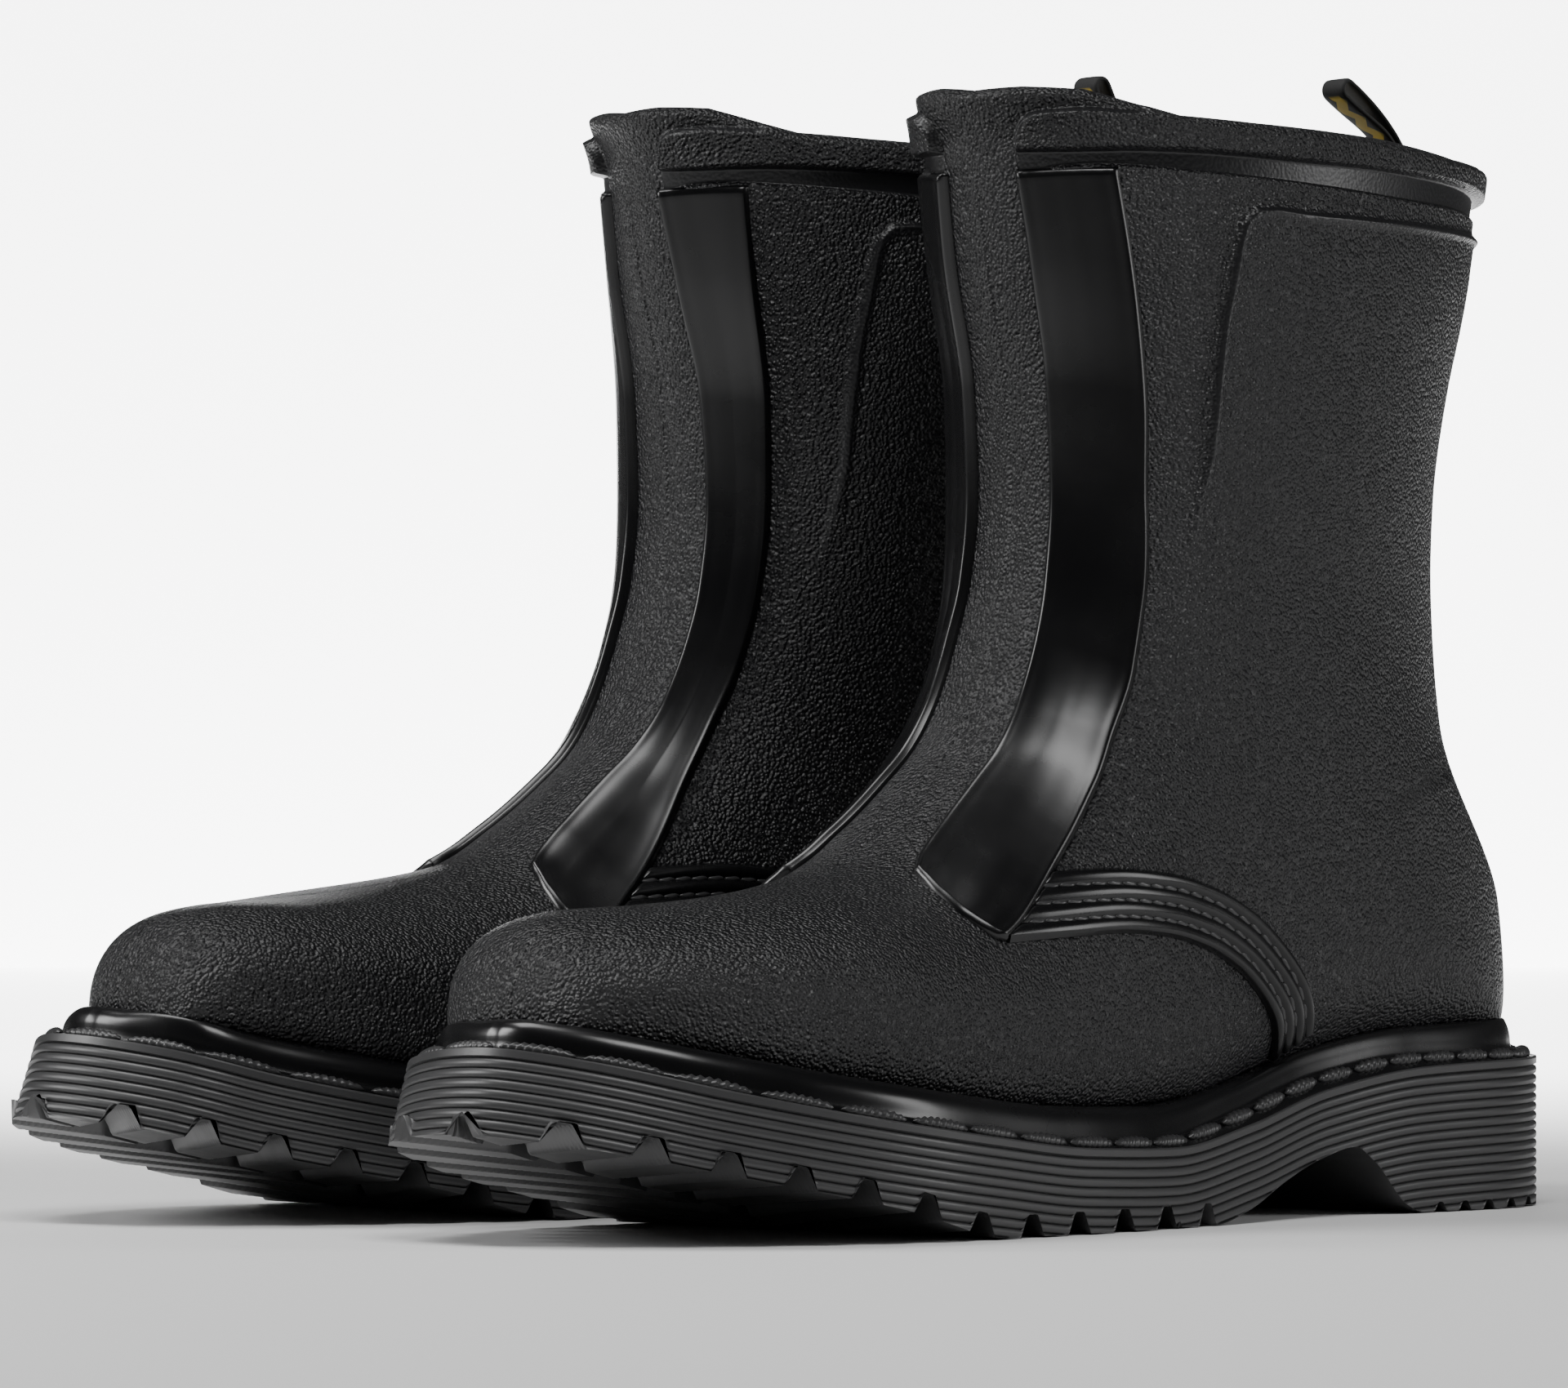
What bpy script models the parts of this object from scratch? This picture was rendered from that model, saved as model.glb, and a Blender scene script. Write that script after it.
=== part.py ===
"""A pair of fire boots: moulded rubber boots with steel toe caps and midsoles.

Each boot is designed in its own frame in millimetres: x runs from the middle plane to the
lateral side, s from the back of the heel to the toe, z up from the ground. place() turns
that frame into the row's frame in metres, toes towards -Y, the left boot at +X.
"""
import math

import bmesh
import bpy
import numpy as np

# ------------------------------------------------------------------ driving dimensions, mm
MM = 0.001
HEEL_SPACING = 43.2        # middle of the pair to each heel centre
HEEL_CENTRE = 40.0         # s of the point that the toes turn out about
TOE_OUT = math.radians(5.3)
PAIR_CENTRE = 151.55       # s of the heel-centre line's point at Y = 0
SOLE_LENGTH = 298.0
TOE_FLARE = 6.0            # the tread edge runs this far ahead of the sole's top edge
FLARE_START = 200.0
CLEARANCE = 0.3            # between neighbouring pieces
OVERLAY_CLEARANCE = 0.9    # between the upper and the strips moulded over it

RAND_HEIGHT = 8.4          # lip of the rand above the sole's top edge
RAND_CLEARANCE = 1.5       # the rand's faceted inner wall stands this far off the upper
WELT_WIDTH = 5.2           # ledge outside the rand that carries the stitching
THREAD_RADIUS = 1.1
THREAD_INSET = 2.2

UPPER_THICKNESS = 3.0
CAP_THICKNESS = 1.7        # the heel counter and the insole board
TOE_CAP_THICKNESS = 1.3
LINING_THICKNESS = 2.0
FOOTBED_THICKNESS = 4.0
STRIP_HEIGHT = 2.2         # strips and bands stand this far proud of the upper
COLLAR_HEIGHT = 3.4

LOOP_WIDTH = 11.0
LOOP_LENGTH = 30.0
LOOP_LEAN = math.radians(43.0)   # above the horizontal, leaning over the opening
LOOP_PIVOT = (22.5, 215.2)       # s, z
LOOP_WEBBING = 1.4

# The sole's outline: s, lateral half width, medial half width.
OUTLINE = [
    (0, 0, 0), (3, 14, 14), (12, 27.5, 26), (30, 36, 34), (60, 37.5, 36.5), (95, 38.5, 36),
    (130, 44.5, 37.5), (165, 51, 43), (200, 54, 48.5), (228, 55, 50.5), (252, 49.5, 48),
    (272, 39.5, 41), (286, 27, 33), (295, 12, 16), (298, 0, 0)]
# Height of the sole's top edge and of its tread over s.
SOLE_TOP = [(0, 31), (60, 29.5), (90, 25.8), (120, 19.5), (150, 15.6), (180, 16.4),
            (210, 19.4), (240, 23.5), (270, 29.4), (298, 37.8)]
SOLE_BOTTOM = [(0, 0), (61, 0), (66, 1.5), (77, 11), (83, 14), (94, 12), (107, 8), (122, 2.5),
               (135, 0), (206, 0), (235, 6.5), (265, 13), (298, 21.5)]

# Sections across the upper, from the toe to the rim. Each lies in the plane through its top
# and bottom points: top s and z, bottom s and z, lateral and medial half width, fullness of
# the lower and of the upper half, height of the widest point as a share of the section,
# tilt of the crown towards the medial side, offset of the section from the middle plane.
SECTIONS = [
    (287.0, 41.0, 287.0, 41.0, 0.0, 0.0, 2.6, 2.3, 0.45, 0.00, -4.0),
    (286.2, 48.0, 286.8, 37.5, 8.5, 10.5, 2.8, 2.3, 0.45, 0.00, -4.0),
    (282.5, 56.5, 285.0, 36.5, 14.0, 19.0, 3.2, 2.2, 0.42, 0.02, -4.0),
    (275.8, 61.6, 279.0, 36.0, 21.5, 25.5, 3.8, 2.2, 0.42, 0.06, -4.0),
    (266.0, 63.8, 266.0, 33.5, 32.0, 31.5, 4.5, 2.2, 0.44, 0.06, -3.8),
    (245.0, 65.2, 245.0, 27.5, 42.0, 38.0, 4.5, 2.3, 0.46, -0.02, -3.0),
    (222.0, 67.4, 220.0, 23.5, 45.5, 40.5, 4.5, 2.15, 0.45, -0.06, -2.0),
    (197.0, 72.4, 190.0, 19.8, 44.5, 39.5, 4.5, 2.0, 0.42, -0.02, -1.0),
    (184.0, 80.2, 162.0, 18.5, 42.5, 37.0, 4.5, 2.1, 0.45, 0.03, 0.0),
    (172.5, 88.8, 130.0, 20.5, 40.5, 34.5, 4.5, 2.25, 0.50, 0.04, 0.0),
    (164.0, 96.0, 95.0, 27.4, 38.7, 33.5, 3.8, 2.4, 0.56, 0.02, 0.0),
    (158.0, 104.5, 60.0, 32.0, 38.0, 33.7, 3.8, 2.45, 0.60, -0.02, 0.0),
    (152.3, 118.0, 16.0, 34.0, 37.5, 35.2, 3.7, 2.45, 0.63, -0.06, 0.0),
    (148.3, 131.0, 10.5, 58.0, 37.0, 37.3, 2.9, 2.4, 0.65, -0.10, 0.0),
    (146.4, 148.0, 25.5, 95.0, 37.0, 39.5, 2.3, 2.3, 0.64, -0.12, 0.0),
    (148.0, 169.5, 31.0, 145.0, 39.8, 40.4, 2.2, 2.15, 0.57, -0.09, 0.0),
    (153.5, 194.5, 24.5, 183.0, 42.4, 41.2, 2.15, 2.05, 0.52, 0.00, 0.0),
    (159.5, 229.5, 16.5, 212.8, 43.4, 41.2, 2.0, 2.0, 0.50, 0.08, 0.0)]
RIM = len(SECTIONS) - 1
FOOT_ROWS = [0, 0.4, 0.8, 1.3, 2, 3, 4, 5, 6, 7, 8, 9, 10, 11, 12, 12.5, 13, 14]
SHAFT_ROWS = [15, 16]
RING = list(range(0, 360, 18))
SOLE_RING = list(range(-36, 37, 18))     # columns under the foot

# Rear edge of the side strips: section number and angle round the section.
STRIP_REAR = [(7.0, 122), (7.6, 118), (8.7, 130), (9.6, 137), (11, 140), (12.5, 137),
              (13.5, 133), (14.3, 133), (15, 137), (16.5, 144)]
STRIP_FRONT = [(7.0, 150), (7.3, 161), (8.2, 166), (9, 168), (14, 168), (15, 166), (16.5, 169)]
# Middle line of the stitched band from the strip's foot to the rand, and its width: s, z.
BAND_LINE = [(169, 64.7), (158, 65.2), (143, 64.2), (130, 61.5), (119, 57.0), (109.5, 50.5),
             (102.5, 43.5), (99, 37.5)]
BAND_WIDTH = 12.5


# ------------------------------------------------------------------------------- curves
def smooth(points):
    """Monotone cubic through rows of (x, y, ...); returns a function of x."""
    table = np.asarray(points, float)
    x, y = table[:, 0], table[:, 1:]
    step = np.diff(x)[:, None]
    slope = np.diff(y, axis=0) / step
    tangent = np.zeros_like(y)
    same = slope[:-1] * slope[1:] > 0
    before, after = np.where(same, slope[:-1], 1.0), np.where(same, slope[1:], 1.0)
    heavy, light = 2 * step[1:] + step[:-1], step[1:] + 2 * step[:-1]
    tangent[1:-1] = np.where(same, (heavy + light) / (heavy / before + light / after), 0.0)
    tangent[0], tangent[-1] = slope[0], slope[-1]

    def curve(at):
        at = np.asarray(at, float)
        i = np.clip(np.searchsorted(x, at) - 1, 0, len(x) - 2)
        h = step[i, 0][..., None]
        t = (at[..., None] - x[i][..., None]) / h
        return (y[i] * (1 + 2 * t) * (1 - t) ** 2 + tangent[i] * h * t * (1 - t) ** 2
                + y[i + 1] * t * t * (3 - 2 * t) + tangent[i + 1] * h * t * t * (t - 1))

    return curve


def spline_ring(points, count):
    """Closed Catmull-Rom ring through 2-D points, sampled count times between each two."""
    p = np.asarray(points, float)
    a, b, c, d = np.roll(p, 1, 0), p, np.roll(p, -1, 0), np.roll(p, -2, 0)
    t = (np.arange(count) / count)[:, None, None]
    ring = 0.5 * (2 * b + (c - a) * t + (2 * a - 5 * b + 4 * c - d) * t * t
                  + (3 * b - a - 3 * c + d) * t ** 3)
    return ring.transpose(1, 0, 2).reshape(-1, 2)


sole_top = smooth(SOLE_TOP)
sole_bottom = smooth(SOLE_BOTTOM)
section_curve = smooth([(i, *row) for i, row in enumerate(SECTIONS)])
LATERAL_EDGE = [(lateral, s) for s, lateral, medial in OUTLINE]
MEDIAL_EDGE = [(-medial, s) for s, lateral, medial in reversed(OUTLINE[1:-1])]
OUTLINE_RING = spline_ring(LATERAL_EDGE + MEDIAL_EDGE, 24)


def outline_width(s, side):
    """Half width of the sole's outline at s; side is +1 lateral, -1 medial."""
    edge = OUTLINE_RING[OUTLINE_RING[:, 0] * side >= -1e-6]
    edge = edge[np.argsort(edge[:, 1])]
    return np.abs(np.interp(s, edge[:, 1], edge[:, 0]))


def outline_loop():
    """Ring of points (x, s) round the sole, lateral side from heel to toe, then medial."""
    s = np.array([0, 1.5, 6, 14, 30, 46, 61, 66, 77, 83, 94, 107, 122, 135, 150, 170, 190, 206,
                  220, 235, 250, 263, 274, 284, 292, 296.7, SOLE_LENGTH])
    lateral = np.stack([outline_width(s, 1), s], 1)
    medial = np.stack([-outline_width(s, -1), s], 1)[::-1][1:-1]
    loop = np.concatenate([lateral, medial])
    loop[0, 0] = loop[len(s) - 1, 0] = 0.0
    return loop


def inward(loop):
    """Unit normals of a ring of (x, s) points, pointing into the sole."""
    along = np.roll(loop, -1, 0) - np.roll(loop, 1, 0)
    normal = np.stack([-along[:, 1], along[:, 0]], 1)
    return normal / np.linalg.norm(normal, axis=1)[:, None]


# ---------------------------------------------------------------------- the upper's surface
def surface(u, phi):
    """Point (x, s, z) of the upper's outer skin at section u and angle phi in degrees."""
    u, phi = np.broadcast_arrays(np.asarray(u, float), np.radians(phi))
    (top_s, top_z, low_s, low_z, lateral, medial, low_full, top_full, waist, tilt,
     offset) = np.moveaxis(section_curve(u), -1, 0)
    across, down = np.sin(phi), np.cos(phi)
    lower = down > 0
    power = np.where(lower, 2 / low_full, 2 / top_full)
    x = np.sign(across) * np.where(across > 0, lateral, medial) * np.abs(across) ** power
    share = np.abs(down) ** power
    h = np.where(lower, waist * (1 - share), waist + (1 - waist) * share)
    span = np.hypot(top_s - low_s, top_z - low_z) + 1e-6
    h = h - h * tilt * x / span
    return np.stack([x + offset, low_s + (top_s - low_s) * h, low_z + (top_z - low_z) * h], -1)


def outward(u, phi):
    """Unit normal of the skin, pointing out of the boot."""
    u, phi = np.broadcast_arrays(np.asarray(u, float), np.asarray(phi, float))
    step = 0.03
    along = surface(np.minimum(u + step, RIM), phi) - surface(np.maximum(u - step, 0.0), phi)
    round_it = surface(u, phi + 1.5) - surface(u, phi - 1.5)
    normal = np.cross(round_it, along)
    length = np.linalg.norm(normal, axis=-1)[..., None]
    normal = normal / np.maximum(length, 1e-9)
    normal = np.where((u < step)[..., None], np.array([0.0, 1.0, 0.0]), normal)
    return normal


def skin(u, phi, out):
    """The skin moved out by a distance, which is negative towards the foot."""
    return surface(u, phi) + outward(u, phi) * np.asarray(out, float)[..., None]


def rim_row(phi):
    """The rim dips behind the tongue and rises again to the back of the heel."""
    angle = np.abs((np.asarray(phi, float) + 180) % 360 - 180)
    return RIM - np.interp(angle, [0, 45, 100, 130, 155], [0.02, 0.07, 0.12, 0.12, 0.0])


def reach(s, z):
    """Lateral and medial edge of the upper's skin, as x, at points of the side view."""
    s, z = np.broadcast_arrays(np.asarray(s, float), np.asarray(z, float))
    u = np.linspace(0.05, RIM, 700)
    rows = section_curve(u)
    top, low = rows[:, 0:2], rows[:, 2:4]
    span = top - low
    p = np.stack([s, z], -1)[..., None, :]
    turn = span[:, 0] * (p[..., 1] - low[:, 1]) - span[:, 1] * (p[..., 0] - low[:, 0])
    i = np.argmax((turn[..., :-1] * turn[..., 1:]) <= 0, axis=-1)
    row, span, low = rows[i], span[i], low[i]
    length = np.linalg.norm(span, axis=-1)
    h = ((p[..., 0, :] - low) * span).sum(-1) / length ** 2
    edges = []
    for side, width in ((1, row[..., 4]), (-1, row[..., 5])):
        x = np.zeros_like(h)
        for _ in range(3):
            level = h / (1 - row[..., 9] * x / length)
            waist = row[..., 8]
            lower = level < waist
            part = np.where(lower, 1 - level / waist, (level - waist) / (1 - waist))
            power = np.where(lower, row[..., 6], row[..., 7])
            x = side * width * np.clip(1 - np.clip(np.abs(part), 0, 1) ** power, 0, 1) ** (1 / power)
        inside = (h > 0) & (h < 1)
        edges.append(np.where(inside, x + row[..., 10], np.nan))
    return edges


# --------------------------------------------------------------------------- mesh building
def clear_scene():
    for item in list(bpy.data.objects):
        bpy.data.objects.remove(item, do_unlink=True)


def collection(name):
    group = bpy.data.collections.new(name)
    bpy.context.scene.collection.children.link(group)
    return group


def material(name, colour, roughness, metallic=0.0):
    made = bpy.data.materials.get(name) or bpy.data.materials.new(name)
    made.use_nodes = True
    shader = made.node_tree.nodes["Principled BSDF"]
    shader.inputs["Base Color"].default_value = (*colour, 1.0)
    shader.inputs["Roughness"].default_value = roughness
    shader.inputs["Metallic"].default_value = metallic
    return made


def place(points, side):
    """Boot frame in millimetres to the row's frame in metres; side is +1 left, -1 right."""
    p = np.asarray(points, float)
    forward = HEEL_CENTRE - p[..., 1]
    x = p[..., 0] * math.cos(TOE_OUT) - forward * math.sin(TOE_OUT) + HEEL_SPACING
    y = p[..., 0] * math.sin(TOE_OUT) + forward * math.cos(TOE_OUT) + PAIR_CENTRE - HEEL_CENTRE
    return np.stack([x * side, y, p[..., 2]], -1) * MM


def solid(name, faces, finish, side, group):
    """Closed mesh object from faces given as lists of boot-frame points."""
    mesh = bmesh.new()
    known = {}

    def vertex(point):
        key = tuple(np.round(point, 4))
        if key not in known:
            known[key] = mesh.verts.new(place(key, side))
        return known[key]

    for face in faces:
        corners = []
        for point in face:
            corner = vertex(point)
            if corner not in corners:
                corners.append(corner)
        if len(corners) > 2:
            mesh.faces.new(corners)
    bmesh.ops.recalc_face_normals(mesh, faces=mesh.faces)
    data = bpy.data.meshes.new(name)
    mesh.to_mesh(data)
    mesh.free()
    data.materials.append(finish)
    data.shade_smooth()
    data.set_sharp_from_angle(angle=math.radians(35))
    item = bpy.data.objects.new(name, data)
    group.objects.link(item)
    return item


def triangles(a, b, c, d):
    """A quad split the same way everywhere, so that neighbouring layers stay parallel."""
    return [[a, b, c], [a, c, d]]


def wall(first, second, closed):
    """Faces between two rows of points."""
    faces = []
    for i in range(len(first) if closed else len(first) - 1):
        j = (i + 1) % len(first)
        faces += triangles(first[i], first[j], second[j], second[i])
    return faces


def shell_faces(outer, inner, closed):
    """Faces of a solid between two grids of points; closed grids wrap round."""
    faces = []
    for skin_grid in (outer, inner):
        for i in range(len(skin_grid) - 1):
            faces += wall(skin_grid[i], skin_grid[i + 1], closed)
    faces += wall(outer[0], inner[0], closed) + wall(outer[-1], inner[-1], closed)
    if not closed:
        for column in (0, -1):
            faces += wall(outer[:, column], inner[:, column], False)
    return faces


def layer(rows, columns, outer, inner):
    """Solid that follows the upper's skin between two distances from it.

    rows are section numbers or functions of the angle, columns angles or functions of the
    section number, and the distances numbers or functions of the section number.
    """
    phi = np.array([[c(u) if callable(c) else c for c in columns]
                    for u in (r if not callable(r) else RIM for r in rows)], float)
    u = np.array([r(phi[i]) if callable(r) else np.full(len(columns), float(r))
                  for i, r in enumerate(rows)])
    grids = []
    for out in (outer, inner):
        grids.append(skin(u, phi, out(u) if callable(out) else np.full(u.shape, out)))
    return shell_faces(grids[0], grids[1], closed=columns is RING)


# ------------------------------------------------------------------------------ the pieces
def lining_depth(u):
    """The lining runs deeper in the foot, where the cap, counter and board lie behind it."""
    deep = UPPER_THICKNESS + CAP_THICKNESS + 2 * CLEARANCE
    shallow = UPPER_THICKNESS + CLEARANCE
    return -np.interp(u, [14.0, 15.0], [deep, shallow])


def outsole_faces():
    """Heeled sole: a ring of side faces between the tread and the flat top."""
    loop = outline_loop()
    s = loop[:, 1]
    top = np.column_stack([loop, sole_top(s)[:, 0]])
    flare = TOE_FLARE * np.clip((s - FLARE_START) / (SOLE_LENGTH - FLARE_START), 0, 1)
    bottom = np.column_stack([loop[:, 0], s + flare, sole_bottom(s)[:, 0]])
    faces = wall(top, bottom, closed=True)
    half, count = len(loop) // 2, len(loop)
    for ring in (top, bottom):
        for i in range(half):
            faces += triangles(ring[i], ring[i + 1], ring[count - i - 1], ring[-i])
    return faces


def rand_faces():
    """Raised rubber band round the foot of the upper, with a rounded lip."""
    loop = outline_loop()
    normal = inward(loop)
    depth = np.arange(6.0, 30.0, 0.1)
    probe = loop[:, None] + normal[:, None] * depth[None, :, None]
    height = sole_top(probe[..., 1])[..., 0] + RAND_HEIGHT
    lateral, medial = reach(probe[..., 1], height)
    hit = (probe[..., 0] < lateral) & (probe[..., 0] > medial)
    inset = depth[np.argmax(hit, axis=1)] - RAND_CLEARANCE
    inset = np.minimum(inset, np.minimum(np.roll(inset, 1), np.roll(inset, -1)) + 0.8)
    profile = [
        (np.minimum(WELT_WIDTH, inset - 2.0), CLEARANCE),
        (np.minimum(WELT_WIDTH + 1.2, inset - 1.7), 4.6),
        (np.minimum(WELT_WIDTH + 3.4, inset - 1.0), 7.8),
        (inset, RAND_HEIGHT),
        (inset, CLEARANCE)]
    rings = []
    for distance, rise in profile:
        ring = loop + normal * distance[:, None]
        rings.append(np.column_stack([ring, sole_top(ring[:, 1])[:, 0] + rise]))
    faces = []
    for i, ring in enumerate(rings):
        faces += wall(ring, rings[(i + 1) % len(rings)], closed=True)
    return faces


def welt_thread(name, finish, side, group):
    """Heavy thread that runs round the welt ledge."""
    loop = outline_loop()
    ring = loop + inward(loop) * THREAD_INSET
    height = sole_top(ring[:, 1])[:, 0] + CLEARANCE + THREAD_RADIUS + 0.25
    points = place(np.column_stack([ring, height]), side)
    data = bpy.data.curves.new(name, "CURVE")
    data.dimensions = "3D"
    data.bevel_depth = THREAD_RADIUS * MM
    data.bevel_resolution = 1
    data.materials.append(finish)
    spline = data.splines.new("POLY")
    spline.points.add(len(points) - 1)
    for point, co in zip(spline.points, points):
        point.co = (*co, 1.0)
    spline.use_cyclic_u = True
    item = bpy.data.objects.new(name, data)
    group.objects.link(item)
    return item


def upper_faces():
    rows = FOOT_ROWS + SHAFT_ROWS + [rim_row]
    return layer(rows, RING, 0.0, -UPPER_THICKNESS)


def lining_faces():
    rows = FOOT_ROWS + SHAFT_ROWS + [lambda phi: rim_row(phi) - 0.06]
    return layer(rows, RING, lining_depth, lambda u: lining_depth(u) - LINING_THICKNESS)


def collar_faces():
    """Raised band round the back of the rim, open at the tongue."""
    def top(phi):
        return rim_row(phi) - np.interp(np.abs(phi), [130, 162], [0.01, 0.13])

    def bottom(phi):
        return RIM - np.interp(np.abs(phi), [0, 50, 84, 130], [0.22, 0.18, 0.25, 0.32])

    def middle(phi):
        return (top(phi) + bottom(phi)) / 2

    angles = list(range(-162, 163, 18))
    return layer([bottom, middle, top], angles, COLLAR_HEIGHT, OVERLAY_CLEARANCE)


def strip_faces(hand):
    """Smooth strip beside the tongue, from under the collar to the instep."""
    front, rear = smooth(STRIP_FRONT), smooth(STRIP_REAR)
    columns = [lambda u, k=k: hand * float(front(u)[0] * (1 - k) + rear(u)[0] * k)
               for k in (0, 0.25, 0.5, 0.75, 1)]
    rows = [7.05, 7.5, 8, 8.5, 9, 9.5, 10, 11, 12, 13, 14, 15, 16, 16.45]
    return layer(rows, columns, STRIP_HEIGHT, OVERLAY_CLEARANCE)


def band_faces(hand):
    """Curved stitched band from the foot of the strip down to the rand."""
    line = np.asarray(BAND_LINE, float)
    along = np.gradient(line, axis=0)
    across = np.stack([-along[:, 1], along[:, 0]], 1)
    across /= np.linalg.norm(across, axis=1)[:, None]
    step = np.array([-0.5, -0.17, 0.17, 0.5]) * BAND_WIDTH
    grid = line[:, None] + across[:, None] * step[None, :, None]
    edge = reach(grid[..., 0], grid[..., 1])[0 if hand > 0 else 1]
    points = np.concatenate([edge[..., None], grid], -1)
    turn = np.cross(np.gradient(points, axis=0), np.gradient(points, axis=1))
    turn /= np.linalg.norm(turn, axis=-1)[..., None]
    turn *= np.sign(turn[..., :1]) * hand
    return shell_faces(points + turn * (STRIP_HEIGHT + 0.3), points + turn * (OVERLAY_CLEARANCE + 0.3),
                       closed=False)


def toe_cap_faces():
    """The cap covers the top and the sides of the toes and is open below."""
    depth = UPPER_THICKNESS + 2 * CLEARANCE
    return layer(FOOT_ROWS[3:8], list(range(90, 271, 18)), -depth, -depth - TOE_CAP_THICKNESS)


def heel_counter_faces():
    depth = UPPER_THICKNESS + CLEARANCE
    return layer([12.5, 13, 14], list(range(-72, 73, 18)), -depth, -depth - CAP_THICKNESS)


def insole_board_faces():
    depth = UPPER_THICKNESS + CLEARANCE
    return layer([6, 7, 8, 9, 10, 11], SOLE_RING, -depth, -depth - CAP_THICKNESS)


def midsole_plate_faces():
    return layer([4, 5, 6, 7, 8, 9, 10, 11], SOLE_RING, 1.4, 0.4)


def footbed_faces():
    depth = UPPER_THICKNESS + CAP_THICKNESS + LINING_THICKNESS + 3 * CLEARANCE
    return layer([4, 5, 6, 7, 8, 9, 10, 11], SOLE_RING, -depth, -depth - FOOTBED_THICKNESS)


def loop_anchor_faces():
    depth = UPPER_THICKNESS + LINING_THICKNESS + 2 * CLEARANCE + 1.2
    return layer([16.45, 16.7, 16.88], [-10, 0, 10], -depth, -depth - LOOP_WEBBING)


def loop_faces():
    """Tape folded double and pressed flat, a little thicker where it turns at its end."""
    along = np.array([0.0, 6, 12, 18, 23, 26, 28.5, LOOP_LENGTH])
    half = np.array([1.3, 1.5, 1.5, 1.6, 2.0, 2.3, 1.9, 0.9])
    direction = np.array([math.cos(LOOP_LEAN), math.sin(LOOP_LEAN)])
    normal = np.array([-direction[1], direction[0]])
    rows = []
    for x, out in ((-1, -1), (-1, 1), (1, 1), (1, -1)):
        flat = (np.asarray(LOOP_PIVOT) + along[:, None] * direction
                + (out * half)[:, None] * normal)
        rows.append(np.column_stack([np.full(len(flat), x * LOOP_WIDTH / 2), flat]))
    rings = np.stack(rows, 1)
    faces = []
    for first, second in zip(rings[:-1], rings[1:]):
        faces += wall(first, second, closed=True)
    return faces + triangles(*rings[0]) + triangles(*rings[-1])


def build_boot(word, side, group):
    rubber = material("grained_rubber", (0.018, 0.018, 0.02), 0.6)
    smooth_rubber = material("smooth_rubber", (0.012, 0.012, 0.014), 0.35)
    sole_rubber = material("sole_rubber", (0.014, 0.014, 0.015), 0.5)
    steel = material("steel", (0.55, 0.56, 0.58), 0.35, 1.0)
    thread = material("welt_thread", (0.03, 0.03, 0.035), 0.6)
    felt = material("lining_felt", (0.05, 0.05, 0.055), 0.9)
    board = material("board", (0.35, 0.28, 0.2), 0.8)
    foam = material("footbed_foam", (0.06, 0.06, 0.065), 0.85)
    webbing = material("webbing", (0.02, 0.02, 0.02), 0.75)
    pieces = {
        "outsole": (outsole_faces, sole_rubber),
        "rand": (rand_faces, smooth_rubber),
        "upper": (upper_faces, rubber),
        "collar_band": (collar_faces, rubber),
        "lateral_strip": (lambda: strip_faces(1), smooth_rubber),
        "medial_strip": (lambda: strip_faces(-1), smooth_rubber),
        "lateral_band": (lambda: band_faces(1), smooth_rubber),
        "medial_band": (lambda: band_faces(-1), smooth_rubber),
        "toe_cap": (toe_cap_faces, steel),
        "midsole_plate": (midsole_plate_faces, steel),
        "heel_counter": (heel_counter_faces, board),
        "insole_board": (insole_board_faces, board),
        "lining": (lining_faces, felt),
        "footbed": (footbed_faces, foam),
        "loop_anchor": (loop_anchor_faces, webbing)}
    for piece, (faces, finish) in pieces.items():
        solid(f"{word}_{piece}", faces(), finish, side, group)
    welt_thread(f"{word}_welt_thread", thread, side, group)

    loop = solid(f"{word}_pull_loop", loop_faces(), webbing, side, group)
    pivot = bpy.data.objects.new(f"{word}_loop_pivot", None)
    pivot.location = place((0.0, *LOOP_PIVOT), side)
    pivot.rotation_euler.z = TOE_OUT * side
    group.objects.link(pivot)
    bpy.context.view_layer.update()
    loop.parent = pivot
    loop.matrix_parent_inverse = pivot.matrix_world.inverted()


def main():
    clear_scene()
    boots = collection("fire_boots")
    for word, side in (("left", 1), ("right", -1)):
        build_boot(word, side, boots)


main()
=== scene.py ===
"""Looks for the pair of fire boots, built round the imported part.

Each boot is shaped in its own frame in millimetres: x to the lateral side, s from the heel to
the toe, z up. place() turns that frame into the row's frame in metres.
"""
import math

import bpy
import numpy as np
from mathutils import Matrix, Vector


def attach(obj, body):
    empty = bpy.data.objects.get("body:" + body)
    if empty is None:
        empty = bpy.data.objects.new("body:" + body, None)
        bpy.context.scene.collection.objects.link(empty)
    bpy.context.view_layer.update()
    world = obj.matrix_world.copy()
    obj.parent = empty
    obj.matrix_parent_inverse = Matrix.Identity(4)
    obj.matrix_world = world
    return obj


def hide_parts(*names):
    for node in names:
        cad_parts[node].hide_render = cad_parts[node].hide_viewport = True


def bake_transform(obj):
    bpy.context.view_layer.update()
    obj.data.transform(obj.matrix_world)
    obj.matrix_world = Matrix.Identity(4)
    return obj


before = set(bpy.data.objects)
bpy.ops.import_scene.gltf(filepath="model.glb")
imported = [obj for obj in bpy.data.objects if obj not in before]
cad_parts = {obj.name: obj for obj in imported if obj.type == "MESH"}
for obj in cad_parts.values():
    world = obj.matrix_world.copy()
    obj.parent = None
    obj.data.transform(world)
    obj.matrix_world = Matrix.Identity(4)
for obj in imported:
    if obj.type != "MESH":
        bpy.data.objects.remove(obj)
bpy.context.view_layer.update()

# ------------------------------------------------------------------- the part's dimensions
MM = 0.001
HEEL_SPACING, HEEL_CENTRE, PAIR_CENTRE = 43.2, 40.0, 151.55
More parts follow.
